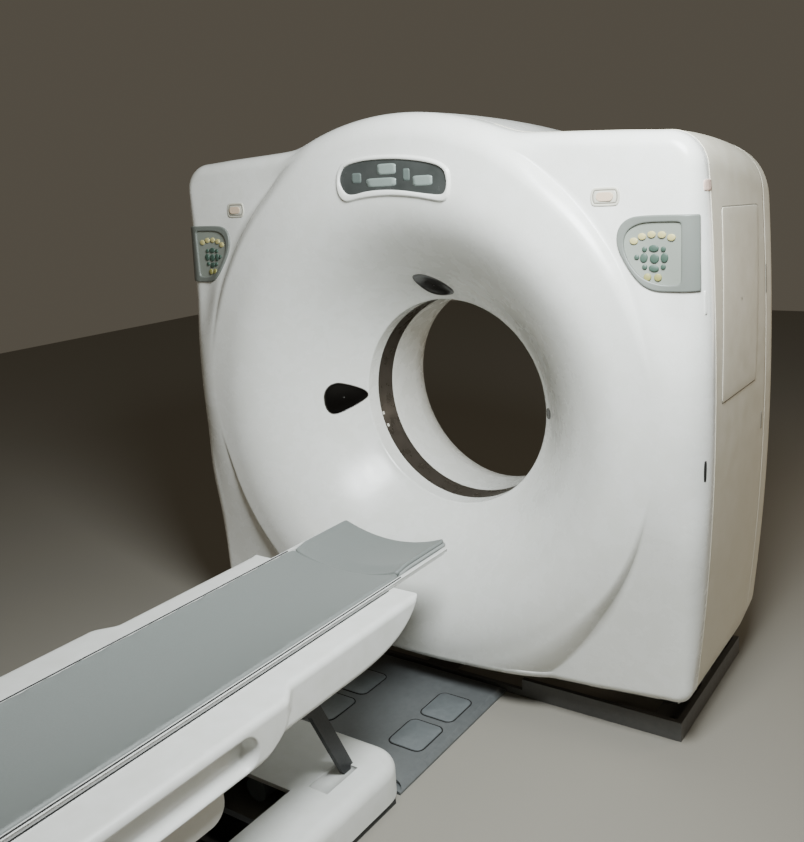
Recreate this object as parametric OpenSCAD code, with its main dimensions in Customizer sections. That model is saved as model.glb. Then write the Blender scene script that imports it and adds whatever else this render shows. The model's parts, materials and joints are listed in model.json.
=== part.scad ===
// Hospital CT scanner: a tilting ring gantry with its covers, rotor and columns, and a patient table
// that rises on parallel legs and slides its cradle toward the bore.
// X is across, Y is along the bore with the table at the negative end, Z is up from the floor.
// The origin is on the floor, straight below the isocentre.

/* [Gantry] */
// Height of the isocentre above the floor
iso_h = 900; // [895:1:930]
// Diameter of the patient bore
bore_d = 700; // [660:5:720]
// Overall width of the gantry covers
gantry_w = 1830; // [1810:5:1900]
// Distance of the flat front face ahead of the scan plane
face_y = 349; // [340:1:370]
// Distance of the rear cover behind the scan plane
rear_y = 325; // [315:1:350]
// Height of the gantry shoulders above the isocentre
shoulder_z = 842; // [820:1:880]
// Radius of the dome over the gantry
dome_r = 930; // [915:1:960]
// Depth of the side covers below the isocentre
skirt_z = 727; // [715:1:735]
// Depth of the front cover below the isocentre at its sides
front_skirt_z = 745; // [735:1:750]
// Extra depth of the front cover on its centre line
front_sag = 44; // [20:1:46]
// Radius of the upper corners of the gantry outline
shoulder_r = 100; // [70:1:130]
// Radius of the long front edges of the covers
edge_r = 42; // [25:1:50]
// Radius of the rear edges of the covers
rear_edge_r = 34; // [20:1:40]
// Wall thickness of the moulded covers
wall = 6; // [4:0.5:8]
// Gap in the seams between covers
seam = 0.8; // [0.6:0.1:0.9]
// Distance of the front cover's seam ahead of the scan plane
seam_front = 232; // [220:1:250]
// Distance of the rear cover's seam behind the scan plane
seam_rear = 183; // [176:1:200]

/* [Front drum] */
// Radius where the front drum meets the flat face
drum_r = 862; // [850:1:880]
// Distance of the drum's foremost ring ahead of the scan plane
drum_y = 396; // [385:1:410]
// Depth of the bore's straight mouth ahead of the scan plane
throat_y = 100; // [96:1:104]
// Radius of the drum's foremost ring
drum_ring_r = 740; // [720:1:750]
// Width of the dark scan window in the bore
window_w = 86; // [70:1:100]
// Thickness of the scan window ring
window_t = 4; // [3:0.5:5]
// Radius of the rear end of the bore at the rear cover
flare_r = 430; // [410:1:440]

/* [Fittings] */
// Radius of the display's centre line about the isocentre
display_r = 755; // [750:1:760]
// Height of the display
display_h = 82; // [70:1:90]
// Half of the angle that the display spans
display_a = 13; // [11:0.5:15]
// Width of the frame round the display
display_frame = 14; // [10:1:16]
// Height of the centre of the control panels above the isocentre
panel_z = 516; // [505:1:520]
// Height of the control panels
panel_h = 197; // [190:1:205]
// Radius of a control panel's inner corners
panel_corner_r = 55; // [40:1:70]
// Distance of the panels' round inner ends from the centre line
panel_x = 696; // [690:1:705]
// How far the control panels stand proud of the covers
panel_t = 6; // [5:0.5:8]
// Distance of the emergency stops from the centre line
stop_x = 666; // [660:1:670]
// Height of the emergency stops above the isocentre
stop_z = 668; // [662:1:672]
// Length of the oval stop plate
stop_w = 85; // [80:1:90]
// Height of the oval stop plate
stop_h = 49; // [46:1:52]
// Length of the stop button
button_w = 46; // [42:1:50]
// Height of the stop button
button_h = 22; // [18:1:24]
// Travel of the stop button
button_travel = 4; // [3:0.5:5]
// Gap round the stop button
button_gap = 0.4; // [0.3:0.1:0.6]
// Lower end of the side access panels above the isocentre
access_z0 = 96; // [80:1:120]
// Upper end of the side access panels above the isocentre
access_z1 = 622; // [600:1:640]
// Half of the access panel's depth along the bore
access_y = 170; // [150:1:175]
// Number of slots in the top vent
vent_slots = 14; // [8:1:16]

/* [Stand] */
// Distance of the plinth's ends inside the sides of the covers
plinth_setback = 65; // [55:1:68]
// Distance of the plinth's front face ahead of the scan plane
plinth_y0 = 282; // [275:1:290]
// Distance of the plinth's rear face behind the scan plane
plinth_y1 = 309; // [300:1:320]
// Height of the plinth
plinth_h = 60; // [50:1:62]
// Thickness of the plinth's steel
plinth_t = 16; // [12:1:18]
// Diameter of the floor anchor holes
anchor_d = 18; // [14:1:20]
// Width of a column across the gantry
column_w = 80; // [70:1:84]
// Depth of a column at its foot
foot_d = 88; // [70:1:90]
// Depth of a column below its bearing
column_d = 190; // [150:1:200]
// Diameter of the tilt trunnions
trunnion_d = 90; // [70:1:100]
// Running clearance of shafts and pins, on the radius
run_gap = 0.3; // [0.2:0.05:0.4]

/* [Rotor] */
// Outer radius of the rotor
rotor_r = 680; // [665:1:684]
// Inner radius of the rotor
rotor_in_r = 392; // [388:1:396]
// Distance of the rotor plate behind the scan plane
plate_y = 62; // [56:1:66]
// Thickness of the rotor plate
plate_t = 20; // [16:1:22]
// Radius of the bearing's running surface
race_r = 432; // [428:1:436]
// Width of the bearing races
race_w = 48; // [44:1:52]
// Thickness of the tilt frame's ring plate
frame_t = 36; // [30:1:40]
// Radius of the drive pulley
pulley_r = 44; // [36:1:50]
// Distance of the drive motor from the centre line
motor_x = 600; // [590:1:605]
// Depth of the drive motor below the isocentre
motor_z = 545; // [540:1:550]
// Thickness of the drive belt
belt_t = 5; // [4:0.5:6]

/* [Floor plate] */
// Half width of the floor plate between gantry and table
plate_x = 270; // [262:1:280]
// Thickness of the floor plate
floor_t = 20; // [18:1:20]
// Width of the bevel along the floor plate's edges
floor_bevel = 16; // [8:1:18]

/* [Table base] */
// Distance of the table base's front end ahead of the scan plane
base_y0 = 848; // [845:1:860]
// Length of the table base
base_l = 1440; // [1400:5:1500]
// Half width of the table base
base_x = 285; // [280:1:295]
// Height of the table base cover above the floor
base_h = 122; // [118:1:126]
// Radius of the base cover's long upper edges
base_edge_r = 58; // [40:1:64]
// Radius of the base cover's upright corners
base_corner_r = 62; // [50:1:80]
// Gap under the base cover
base_lift = 10; // [8:1:12]

/* [Lift legs] */
// Length of a leg between its pivots
leg_l = 700; // [695:1:706]
// Depth of the legs' upper pivots below the isocentre
crown_drop = 391.6; // [390.8:0.2:400]
// Lean of the lower, visible stretch of a leg
shin_lean = 25; // [24:0.5:27]
// Length of the lower stretch of a leg
shin_l = 318; // [310:1:322]
// Thickness of a leg plate
leg_t = 16; // [14:1:18]
// Depth of a leg plate
leg_d = 40; // [34:1:44]
// Distance of a leg's middle from the centre line
leg_x = 175; // [173:1:177]
// Distance of the front lower pivot ahead of the scan plane
pivot_y = 957; // [950:1:964]
// Height of the lower pivots above the floor
pivot_h = 65; // [62:1:68]
// Distance between the front and rear leg pairs
leg_span = 1000; // [980:5:1020]
// Diameter of the leg pivot pins
pin_d = 28; // [24:1:32]

/* [Table top] */
// Height of the side covers' ledges below the isocentre
ledge_z = 342; // [340:1:346]
// Half width of the table ahead of its arm rests
top_x = 302; // [298:1:306]
// Half width of the table across its arm rests
rest_x = 340; // [334:1:350]
// Depth of the side covers
cover_h = 110; // [106:1:114]
// Distance of the table's nose ahead of the scan plane
nose_y = 776; // [770:1:785]
// Distance of the arm rests' front ends ahead of the scan plane
rest_y = 1306; // [1290:1:1320]
// Distance of the table's rear end ahead of the scan plane
tail_y = 2860; // [2830:5:2900]
// Wall thickness of the table covers
table_wall = 5; // [4:0.5:6]
// Distance of the grip's front end ahead of the scan plane
grip_y = 1436; // [1420:1:1450]
// Length of the grip recess
grip_l = 860; // [700:5:900]
// Height of the grip recess
grip_h = 76; // [66:1:80]
// Depth of the grip recess
grip_d = 32; // [24:1:36]
// Distance of the skirts' front ends ahead of the scan plane
skirt_y = 1500; // [1480:1:1520]
// Depth of the skirts below the side covers
skirt_h = 92; // [80:1:96]

/* [Cradle] */
// Half width of the cradle
cradle_x = 213; // [210:1:216]
// Height of the cradle's rim below the isocentre
rim_z = 333; // [331:1:335]
// Distance of the cradle's front end ahead of the scan plane
cradle_y = 498; // [494:1:505]
// Length of the cradle
cradle_l = 2290; // [2250:5:2300]
// Depth of the cradle's hollow
hollow = 37; // [30:1:38]
// Thickness of the cradle shell
shell_t = 13; // [10:1:14]
// Thickness of the mattress
mattress_t = 17; // [14:1:20]
// Half width of the mattress
mattress_x = 199; // [192:1:202]
// Thickness of the head pad
head_t = 8; // [6:1:10]
// Length of the head holder
head_l = 246; // [236:1:250]
// Forward reach of the head holder beyond the cradle
head_reach = 26; // [20:1:30]

/* [Hidden] */
$fn = 72;

half_w = gantry_w / 2;
plinth_x = half_w - plinth_setback;
column_x = plinth_x - plinth_t - column_w;
bore_r = bore_d / 2;
reach = 3000;
cut = 1;
seat = 0.3;

white = "#e9eae6";
grey = "#a3a8a5";
dark = "#3c3f41";
steel = "#6e7275";

// Holders that turn a flat drawing into a solid along one axis
module along_y(y0, y1) {
    translate([0, y1, 0]) rotate([90, 0, 0]) linear_extrude(y1 - y0) children();
}
module along_x(x0, x1) {
    translate([x0, 0, 0]) rotate([90, 0, 90]) linear_extrude(x1 - x0) children();
}
// A drawing of radius and distance ahead of the scan plane, turned round the bore
module turned() {
    rotate([90, 0, 0]) rotate_extrude($fn = 180) children();
}
// A box given by its two opposite corners
module block(a, b) {
    translate(a) cube(b - a);
}
module at_iso() {
    translate([0, 0, iso_h]) children();
}
module left_of() {
    mirror([1, 0, 0]) children();
}
module both_sides() {
    children();
    mirror([1, 0, 0]) children();
}
// A tube round the bore between two radii, from y0 to y1
module ring(r0, r1, y0, y1) {
    turned() translate([r0, -y1]) square([r1 - r0, y1 - y0]);
}
// A flat rectangle from a to b with round corners
module round_rect(a, b, r) {
    translate([a[0] + r, a[1]]) square([b[0] - a[0] - 2 * r, b[1] - a[1]]);
    translate([a[0], a[1] + r]) square([b[0] - a[0], b[1] - a[1] - 2 * r]);
    for (x = [a[0] + r, b[0] - r], y = [a[1] + r, b[1] - r]) translate([x, y]) circle(r);
}
// A flat oval with its middle at the origin
module oval(w, h) {
    square([w - h, h], center = true);
    for (s = [-1, 1]) translate([s * (w - h) / 2, 0]) circle(d = h);
}
// A flat belt shape round two circles, the second one out along the first axis
function arc(x, r, a0, a1, steps) =
    [for (i = [0:steps]) let (a = a0 + (a1 - a0) * i / steps) [x + r * cos(a), r * sin(a)]];
module tapered_slot(r0, r1, d, steps = 18) {
    a = acos((r0 - r1) / d);
    polygon(concat(arc(0, r0, a, 360 - a, steps), arc(d, r1, -a, a, steps)));
}

// A point and the left-hand normal of a cubic curve through four control points
function curve_point(p, t) =
    pow(1 - t, 3) * p[0] + 3 * t * pow(1 - t, 2) * p[1] + 3 * t * t * (1 - t) * p[2] + t * t * t * p[3];
function curve_slope(p, t) =
    pow(1 - t, 2) * (p[1] - p[0]) + 2 * t * (1 - t) * (p[2] - p[1]) + t * t * (p[3] - p[2]);
function curve_side(p, t) = let (s = curve_slope(p, t)) [-s[1], s[0]] / norm(s);
function curve(p, steps, shift = 0) =
    [for (i = [0:steps]) curve_point(p, i / steps) - shift * curve_side(p, i / steps)];

// Front drum: the funnel from the bore and the shoulder that falls to the flat face
mouth_y = window_w / 2;
funnel = [
    [bore_r, throat_y], [bore_r + 70, throat_y + 50],
    [drum_ring_r - 195, drum_y + 9], [drum_ring_r, drum_y]
];
shoulder = [
    [drum_ring_r, drum_y], [drum_ring_r + 60, drum_y + 4], [drum_r - 22, drum_y], [drum_r, face_y]
];
curve_steps = 14;
function drum_line(inset) = concat(
    curve(funnel, curve_steps, inset),
    [for (p = curve(shoulder, curve_steps, inset)) if (p[1] > face_y - inset + cut) p]
);
module drum(inset, back = seam_front) {
    line = drum_line(inset);
    end = line[len(line) - 1];
    turned() polygon(concat(
        back < line[0][1] ? [[line[0][0], back]] : [], line,
        [[end[0], face_y - inset], [end[0], back]]
    ));
}

// A hair by which rounded edges pass the face beside them
ease = 0.05;
// Half of the gantry outline, from the bottom centre to the top centre
crown_h = 14;
bottom_steps = 6;
bottom_x = half_w - 60;
waist = [[half_w - 30, -0.88 * skirt_z], [half_w - 12, -0.55 * skirt_z], [half_w, -0.02 * skirt_z]];
foot_r = 26;
function outline_half(inset) = concat(
    [for (i = [0:bottom_steps]) let (x = bottom_x * i / bottom_steps)
        [x, -front_skirt_z - front_sag * (1 - pow(x / bottom_x, 2)) + inset]],
    [[half_w - 30 - foot_r - inset, -front_skirt_z + inset]],
    [[half_w - 30 - inset, -front_skirt_z + foot_r]],
    [for (p = waist) [p[0] - inset, p[1]]],
    [[half_w - inset, shoulder_z - shoulder_r], [half_w - shoulder_r, shoulder_z - inset]],
    [[0, shoulder_z + crown_h - inset]]
);
module outline(inset) {
    half = outline_half(inset);
    count = len(half);
    polygon(concat(half, [for (i = [count - 2:-1:1]) [-half[i][0], half[i][1]]]));
    for (s = [-1, 1]) {
        translate([s * (half_w - shoulder_r), shoulder_z - shoulder_r]) circle(shoulder_r - inset);
        translate([s * (half_w - 30 - foot_r), foot_r - front_skirt_z]) circle(foot_r - inset);
    }
}
// Plan of the gantry with round edges at the front and rear
module plan(inset) {
    x = half_w + ease - inset;
    y0 = -face_y - ease + inset;
    y1 = rear_y + ease - inset;
    r0 = edge_r - inset;
    r1 = rear_edge_r - inset;
    for (s = [-1, 1]) {
        translate([s * (x - r0), y0 + r0]) circle(r0);
        translate([s * (x - r1), y1 - r1]) circle(r1);
    }
    translate([-x + r0, y0]) square([2 * (x - r0), 2 * r0]);
    translate([-x + r1, y1 - 2 * r1]) square([2 * (x - r1), 2 * r1]);
    translate([-x, y0 + r0]) square([2 * x, y1 - y0 - r0 - r1]);
}
// Side view of the gantry, with the cut-away at the lower rear
tuck = [
    [rear_y, -0.79 * skirt_z], [rear_y - 5, -0.9 * skirt_z],
    [rear_y - 60, -0.98 * skirt_z], [rear_y - 190, -0.992 * skirt_z]
];
module side_view(inset, top) {
    y0 = -face_y + inset;
    y1 = rear_y - inset;
    z1 = top - inset;
    r0 = edge_r - inset;
    r1 = 2 * rear_edge_r - inset;
    translate([y0 + r0, z1 - r0]) circle(r0);
    translate([y1 - r1, z1 - r1]) circle(r1);
    translate([y0, z1 - 2 * r1]) square([y1 - y0 - 2 * r1, 2 * r1 - r0]);
    translate([y0 + r0, z1 - 2 * r0]) square([y1 - r1 - y0 - r0, 2 * r0]);
    polygon(concat(
        [[y1, z1 - r1]], curve(tuck, 8, inset),
        [[-seam_front, -skirt_z + inset], [-seam_front, -reach], [y0, -reach], [y0, z1 - r1]]
    ));
}
// The dome over the front cover, and the lower one behind it
dome_step = 20;
module dome(inset) {
    intersection() {
        union() {
            turned() {
                r = dome_r - inset;
                y = face_y - inset;
                e = edge_r - inset;
                translate([0, seam_front]) square([r - e, y - seam_front]);
                translate([0, seam_front - cut]) square([r, y - e - seam_front + cut]);
                translate([r - e, y - e]) circle(e);
            }
            ring(0, dome_r - dome_step - inset, -seam_front, rear_y - 3 * rear_edge_r - inset);
        }
        block([-dome_r * 0.62, -reach, dome_r / 2], [dome_r * 0.62, reach, reach]);
    }
}
// The whole outside of the gantry, moved in by the inset
module body_form(inset) {
    intersection() {
        along_y(-reach, reach) outline(inset);
        linear_extrude(2 * reach, center = true) plan(inset);
        along_x(-reach, reach) side_view(inset, shoulder_z + crown_h + cut);
    }
    dome(inset);
}
// The front solid: the covers' outside with the funnel sunk into it
hub_r = drum_ring_r - 40;
module front_form(inset, back) {
    difference() {
        body_form(inset);
        ring(0, hub_r, -reach, reach);
    }
    intersection() {
        drum(inset, back);
        along_y(-reach, reach) outline(inset);
    }
}

// Front cover, open behind and below
lip_w = 14;
open_x = column_x + column_w + 25;
funnel_zone_r = drum_ring_r - 220;
module front_cover() color(white) at_iso() difference() {
    intersection() {
        difference() {
            front_form(0, mouth_y);
            front_form(wall, mouth_y - 2 * wall);
        }
        union() {
            block([-reach, -reach, -reach], [reach, -seam_front - seam / 2, reach]);
            ring(0, funnel_zone_r, -face_y + edge_r, -mouth_y);
        }
    }
    block([-open_x, lip_w - face_y, -reach], [open_x, 0, -skirt_z + 2 * foot_r]);
    along_y(-reach, 0) display_shape(display_frame + seam / 2);
    for (s = [-1, 1]) translate([s * stop_x, 0, stop_z]) along_y(-reach, 0) oval(cup_w + seam, cup_h + seam);
    both_sides() laser_shape(seam / 2);
    rotate([0, -90, 0]) laser_shape(seam / 2);
}

// Seams cut the middle band of the covers into a top and two sides
top_x0 = half_w - shoulder_r + 16;
module band() {
    intersection() {
        difference() {
            body_form(0);
            body_form(wall);
        }
        block([-reach, -seam_front + seam / 2, -reach], [reach, seam_rear - seam / 2, reach]);
    }
}
vent_x = 150;
vent_y0 = -190;
vent_pitch = 22;
vent_slot_w = 8;
module top_cover() color(white) at_iso() difference() {
    intersection() {
        band();
        block([-top_x0, -reach, 0], [top_x0, reach, reach]);
    }
    for (i = [0:vent_slots - 1]) {
        y = vent_y0 + i * vent_pitch;
        block([-vent_x, y, 0], [vent_x, y + vent_slot_w, reach]);
    }
}
module side_cover() color(white) at_iso() difference() {
    intersection() {
        band();
        union() {
            block([top_x0 + seam, -reach, 0], [reach, reach, reach]);
            block([open_x, -reach, -reach], [reach, reach, cut]);
        }
    }
    block([0, -access_y, access_z0], [reach, access_y, access_z1]);
}
module right_side_cover() side_cover();
module left_side_cover() left_of() side_cover();

latch_w = 26;
latch_d = 6;
module access_panel() color(white) at_iso() difference() {
    intersection() {
        band();
        block([0, -access_y + seam, access_z0 + seam], [reach, access_y - seam, access_z1 - seam]);
    }
    for (z = [access_z0 + 60, access_z1 - 60])
        translate([half_w - latch_d, access_y - 40, z]) cube([2 * latch_d, latch_w, latch_d], center = true);
}
module right_access_panel() access_panel();
module left_access_panel() left_of() access_panel();

// Rear cover, open below for the columns
rear_open_z = 0.872 * skirt_z;
module rear_cover() color(white) at_iso() difference() {
    intersection() {
        difference() {
            body_form(0);
            body_form(wall);
        }
        block([-reach, seam_rear + seam / 2, -reach], [reach, reach, reach]);
    }
    block([-open_x, 0, -reach], [open_x, reach, -rear_open_z]);
    ring(0, flare_r + seam, 0, reach);
    for (i = [0:vent_slots - 1]) {
        x = (i - (vent_slots - 1) / 2) * vent_pitch * 2;
        block([x - vent_slot_w, 0, -rear_open_z + 40], [x + vent_slot_w, reach, -rear_open_z + 110]);
    }
}

// Bore: dark window ring and the off-white liner that flares to the rear
flare = [
    [bore_r, -0.6 * rear_y], [bore_r + 4, -0.75 * rear_y],
    [flare_r - 54, -rear_y + 6], [flare_r, -rear_y]
];
lip = 5;
liner_t = 5;
module scan_window() color(dark) at_iso() {
    ring(bore_r, bore_r + window_t, -mouth_y, mouth_y);
    for (s = [-1, 1]) translate([0, s * (mouth_y - lip / 2) - lip / 2, 0])
        ring(bore_r + window_t / 2, bore_r + window_t + lip, 0, lip);
}
module rear_bore_liner() color(white) at_iso() turned() difference() {
    polygon(concat(
        [[bore_r, -mouth_y]], curve(flare, curve_steps),
        [[flare_r, -rear_y + liner_t]],
        [for (i = [curve_steps:-1:0]) let (p = curve(flare, curve_steps, -liner_t)) p[i]],
        [[bore_r + liner_t, -mouth_y]]
    ));
}

// Display: a bowed frame and its dark screen, both following the drum
module display_shape(grow) {
    r0 = display_r - display_h / 2 - grow;
    r1 = display_r + display_h / 2 + grow;
    h = (r1 - r0) / 2;
    intersection() {
        difference() {
            circle(r1);
            circle(r0);
        }
        polygon([[0, 0], for (s = [-1, 1]) 2 * r1 * [s * sin(display_a), cos(display_a)]]);
    }
    for (s = [-1, 1])
        translate(display_r * [s * sin(display_a), cos(display_a)]) circle(h);
}
proud = 5;
module display_frame_ring() color(white) at_iso() intersection() {
    difference() {
        drum(-proud);
        drum(wall);
    }
    along_y(-reach, -face_y) difference() {
        display_shape(display_frame);
        display_shape(0);
    }
}
module display_screen() color(grey) at_iso() intersection() {
    difference() {
        drum(-cut);
        drum(wall);
    }
    along_y(-reach, -face_y) display_shape(-seam / 4);
}

// Control panels wrap the front corners, each with a keypad in it
panel_y1 = -face_y + 62;
module panel_shape(shrink) {
    z0 = panel_z - panel_h / 2;
    round_rect(
        [panel_x + shrink, z0 + shrink], [reach, z0 + panel_h - shrink], panel_corner_r - shrink
    );
}
pad_x1 = half_w - edge_r - 12;
pad_rim = 18;
module keypad_shape(shrink) {
    difference() {
        panel_shape(pad_rim + shrink);
        translate([pad_x1 - shrink, -reach]) square([reach, 2 * reach]);
        circle(drum_r + pad_rim + shrink);
    }
}
module control_panel() color(grey) at_iso() difference() {
    intersection() {
        difference() {
            body_form(-panel_t);
            body_form(0);
        }
        along_y(-reach, panel_y1) panel_shape(0);
    }
    drum(-seam / 2);
    along_y(-reach, 0) keypad_shape(0);
}
module right_control_panel() control_panel();
module left_control_panel() left_of() control_panel();

key_d = 20;
small_key_d = 14;
key_up = 2.5;
key_x = panel_x + 97;
key_z = panel_z - 9;
key_cross = 25;
key_arc_r = 84;
key_arc_mid = [6, -28];
key_arc_a = [-47:18.6:28];
low_keys = [[-18, -46], [10, -46]];
small_key = [-38, -17];
pad_t = 2;
module keypad() color(grey) at_iso() {
    along_y(-face_y - pad_t, -face_y) keypad_shape(seam / 4);
    translate([key_x, 0, key_z]) along_y(-face_y - pad_t - key_up, -face_y - pad_t) {
        for (a = key_arc_a) translate(key_arc_mid + key_arc_r * [sin(a), cos(a)]) circle(d = key_d);
        for (p = [[0, 0], [1, 0], [-1, 0], [0, 1], [0, -1]]) translate(key_cross * p) circle(d = key_d);
        for (p = low_keys) translate(p) circle(d = key_d);
        translate(small_key) circle(d = small_key_d);
    }
}
module right_keypad() keypad();
module left_keypad() left_of() keypad();

// Emergency stops: an oval cup in the face with a sprung button
cup_w = button_w + 12;
cup_h = button_h + 12;
plate_up = 4;
button_in = 9;
button_up = 5;
cup_in = button_in + button_travel + 1;
cup_floor = 4;
module stop_housing() color(grey) at_iso() translate([stop_x, 0, stop_z]) difference() {
    union() {
        along_y(-face_y - plate_up, -face_y) oval(stop_w, stop_h);
        along_y(-face_y, -face_y + cup_in + cup_floor) oval(cup_w, cup_h);
    }
    along_y(-face_y - 2 * plate_up, -face_y + cup_in)
        oval(button_w + 2 * button_gap, button_h + 2 * button_gap);
}
module right_stop_housing() stop_housing();
module left_stop_housing() left_of() stop_housing();
module stop_button() color("#d9c3b4") at_iso() translate([stop_x, 0, stop_z])
    along_y(-face_y - plate_up - button_up, -face_y + button_in) oval(button_w, button_h);
module right_stop_button() stop_button();
module left_stop_button() left_of() stop_button();

// Windows of the positioning lasers, dark drops that lie in the funnel
laser_r0 = 15;
laser_r1 = 50;
laser_y0 = 100;
laser_l = 70;
module laser_shape(grow) {
    rotate([0, 90, 0]) linear_extrude(hub_r)
        translate([0, -laser_y0]) rotate(-90) tapered_slot(laser_r0 + grow, laser_r1 + grow, laser_l);
}
module laser_window() color(dark) at_iso() intersection() {
    difference() {
        drum(0, mouth_y);
        drum(wall, mouth_y - 2 * wall);
    }
    children();
}
module right_laser_window() laser_window() laser_shape(0);
module left_laser_window() laser_window() left_of() laser_shape(0);
module top_laser_window() laser_window() rotate([0, -90, 0]) laser_shape(0);

// Tilt frame: the ring plate that carries the bearing, with its trunnions
bearing_y = plate_y + plate_t;
frame_y = bearing_y + race_w - 8;
ring_r = rotor_r + 16;
race_t = 30;

bracket_x0 = rotor_r + 18;
bracket_x1 = column_x - 12;
bracket_z = 105;
post_x = 520;
post_z = 420;
post_r = 16;
lug_r = 84;
arm_w = 130;
module tilt_frame() color(steel) at_iso() {
    along_y(frame_y, frame_y + frame_t) difference() {
        union() {
            circle(ring_r, $fn = 180);
            square([2 * bracket_x1, 2 * bracket_z], center = true);
            rotate(-motor_a) translate([0, -arm_w / 2]) square([motor_c, arm_w]);
            translate([motor_x, -motor_z]) circle(lug_r);
        }
        circle(race_r + race_t, $fn = 180);
        translate([motor_x, -motor_z]) circle(pulley_r / 3 + 4);
    }
    both_sides() {
        block([bracket_x0, -bracket_z, -bracket_z], [bracket_x1, frame_y, bracket_z]);
        along_x(bracket_x1, column_x + column_w) circle(d = trunnion_d);
        for (s = [-1, 1]) translate([post_x, 0, s * post_z])
            ring(0, post_r, frame_y + frame_t, rear_y - wall - run_gap);
    }
}
module bearing_outer_race() color("#8d9194") at_iso()
    ring(race_r + run_gap, race_r + race_t, bearing_y + 4, bearing_y + race_w);
module bearing_inner_race() color("#8d9194") at_iso()
    ring(race_r - race_t, race_r, bearing_y, bearing_y + race_w - 4);

// Rotor drive: motor, its pulley and the belt round the rotor
belt_y0 = 10;
belt_w = 36;
motor_r = 66;
motor_l = 130;
belt_gap = 0.5;
belt_steps = 96;
motor_a = atan2(motor_z, motor_x);
motor_c = norm([motor_x, motor_z]);
flange_t = 12;
ear = 52;
module drive_motor() color(dark) at_iso() translate([motor_x, 0, -motor_z]) {
    y0 = frame_y + frame_t;
    along_y(y0, y0 + flange_t) difference() {
        square(2 * motor_r, center = true);
        for (x = [-ear, ear], z = [-ear, ear]) translate([x, z]) circle(d = 9);
    }
    along_y(y0 + flange_t, y0 + motor_l) circle(motor_r - 3);
}
module motor_pulley() color(steel) at_iso() translate([motor_x, 0, -motor_z]) {
    ring(0, pulley_r, belt_y0 - 3, belt_y0 + belt_w + 3);
    ring(0, pulley_r / 3, belt_y0 + belt_w, frame_y + frame_t - run_gap);
}
module drive_belt() color("#26282a") at_iso() rotate([0, motor_a, 0])
    along_y(belt_y0, belt_y0 + belt_w) difference() {
        tapered_slot(rotor_r + belt_gap + belt_t, pulley_r + belt_gap + belt_t, motor_c, belt_steps);
        tapered_slot(rotor_r + belt_gap, pulley_r + belt_gap, motor_c, belt_steps);
    }
slip_r0 = 500;
slip_r1 = 600;
slip_t = 14;
tracks = 5;
module slip_ring() color("#b0854e") at_iso() difference() {
    ring(slip_r0, slip_r1, bearing_y, bearing_y + slip_t);
    for (i = [1:tracks]) let (r = slip_r0 + i * (slip_r1 - slip_r0) / (tracks + 1))
        ring(r - 2, r + 2, bearing_y + slip_t - 3, bearing_y + slip_t + cut);
}
module brush_block() color(dark) at_iso()
    block([-40, bearing_y + slip_t + run_gap, slip_r0], [40, frame_y, slip_r1]);

// Rotor: plate, rim and what it carries
rim_t = 14;
rim_y0 = -20;
module rotor_drum() color(steel) at_iso() difference() {
    union() {
        ring(rotor_in_r, rotor_r, plate_y, plate_y + plate_t);
        ring(rotor_r - rim_t, rotor_r, rim_y0, plate_y + cut);
    }
    for (a = [20:40:359]) if (a != 100 && a != 260) rotate([0, a, 0])
        translate([450, 0, 0]) ring(0, 24, 0, reach);
}
tube_r = 92;
tube_l = 250;
tube_z = 560;
tray_r = rotor_in_r + 38;
detector_r = rotor_r - 140;
module xray_tube() color("#9a9d9f") at_iso() intersection() {
    translate([0, 0, tube_z]) {
        along_x(-tube_l / 2, tube_l / 2) circle(tube_r);
        along_x(-tube_l / 2 - 26, tube_l / 2 + 26) circle(tube_r * 0.6);
        block([-tube_l / 3, 0, -tube_r * 0.8], [tube_l / 3, plate_y, tube_r * 0.8]);
    }
    block([-reach, -reach, -reach], [reach, plate_y, reach]);
}
module collimator() color(dark) at_iso() difference() {
    block([-85, -52, 402], [85, plate_y, tube_z - tube_r - run_gap]);
    block([-60, -6, 0], [60, 6, reach]);
}
module high_voltage_tank() color("#7e8589") at_iso() intersection() {
    ring(tray_r, rotor_r - rim_t - 4, -90, plate_y);
    rotate([0, -68, 0]) block([-reach, -90, 0], [reach, plate_y, reach]);
    block([-reach, -reach, -190], [-tray_r, reach, 190]);
}
module data_unit() color("#4a5a52") at_iso() intersection() {
    ring(tray_r, rotor_r - rim_t - 4, -90, plate_y);
    block([tray_r, -reach, -150], [reach, reach, 190]);
}
fan_a = 28;
module fan_sector(a0, a1) {
    along_y(-reach, reach) polygon([[0, 0], for (a = [a0, a1]) reach * [cos(a), sin(a)]]);
}
module detector_array() color("#596066") at_iso() intersection() {
    union() {
        ring(detector_r, detector_r + 80, -46, plate_y);
        ring(detector_r + 20, detector_r + 100, -70, plate_y - 20);
    }
    fan_sector(-90 - fan_a, -90 + fan_a);
}
module counterweight() color(dark) at_iso() for (a = [40, 140]) intersection() {
    ring(detector_r + 60, rotor_r - rim_t - 4, -10, plate_y);
    fan_sector(a - 8, a + 8);
}

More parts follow.
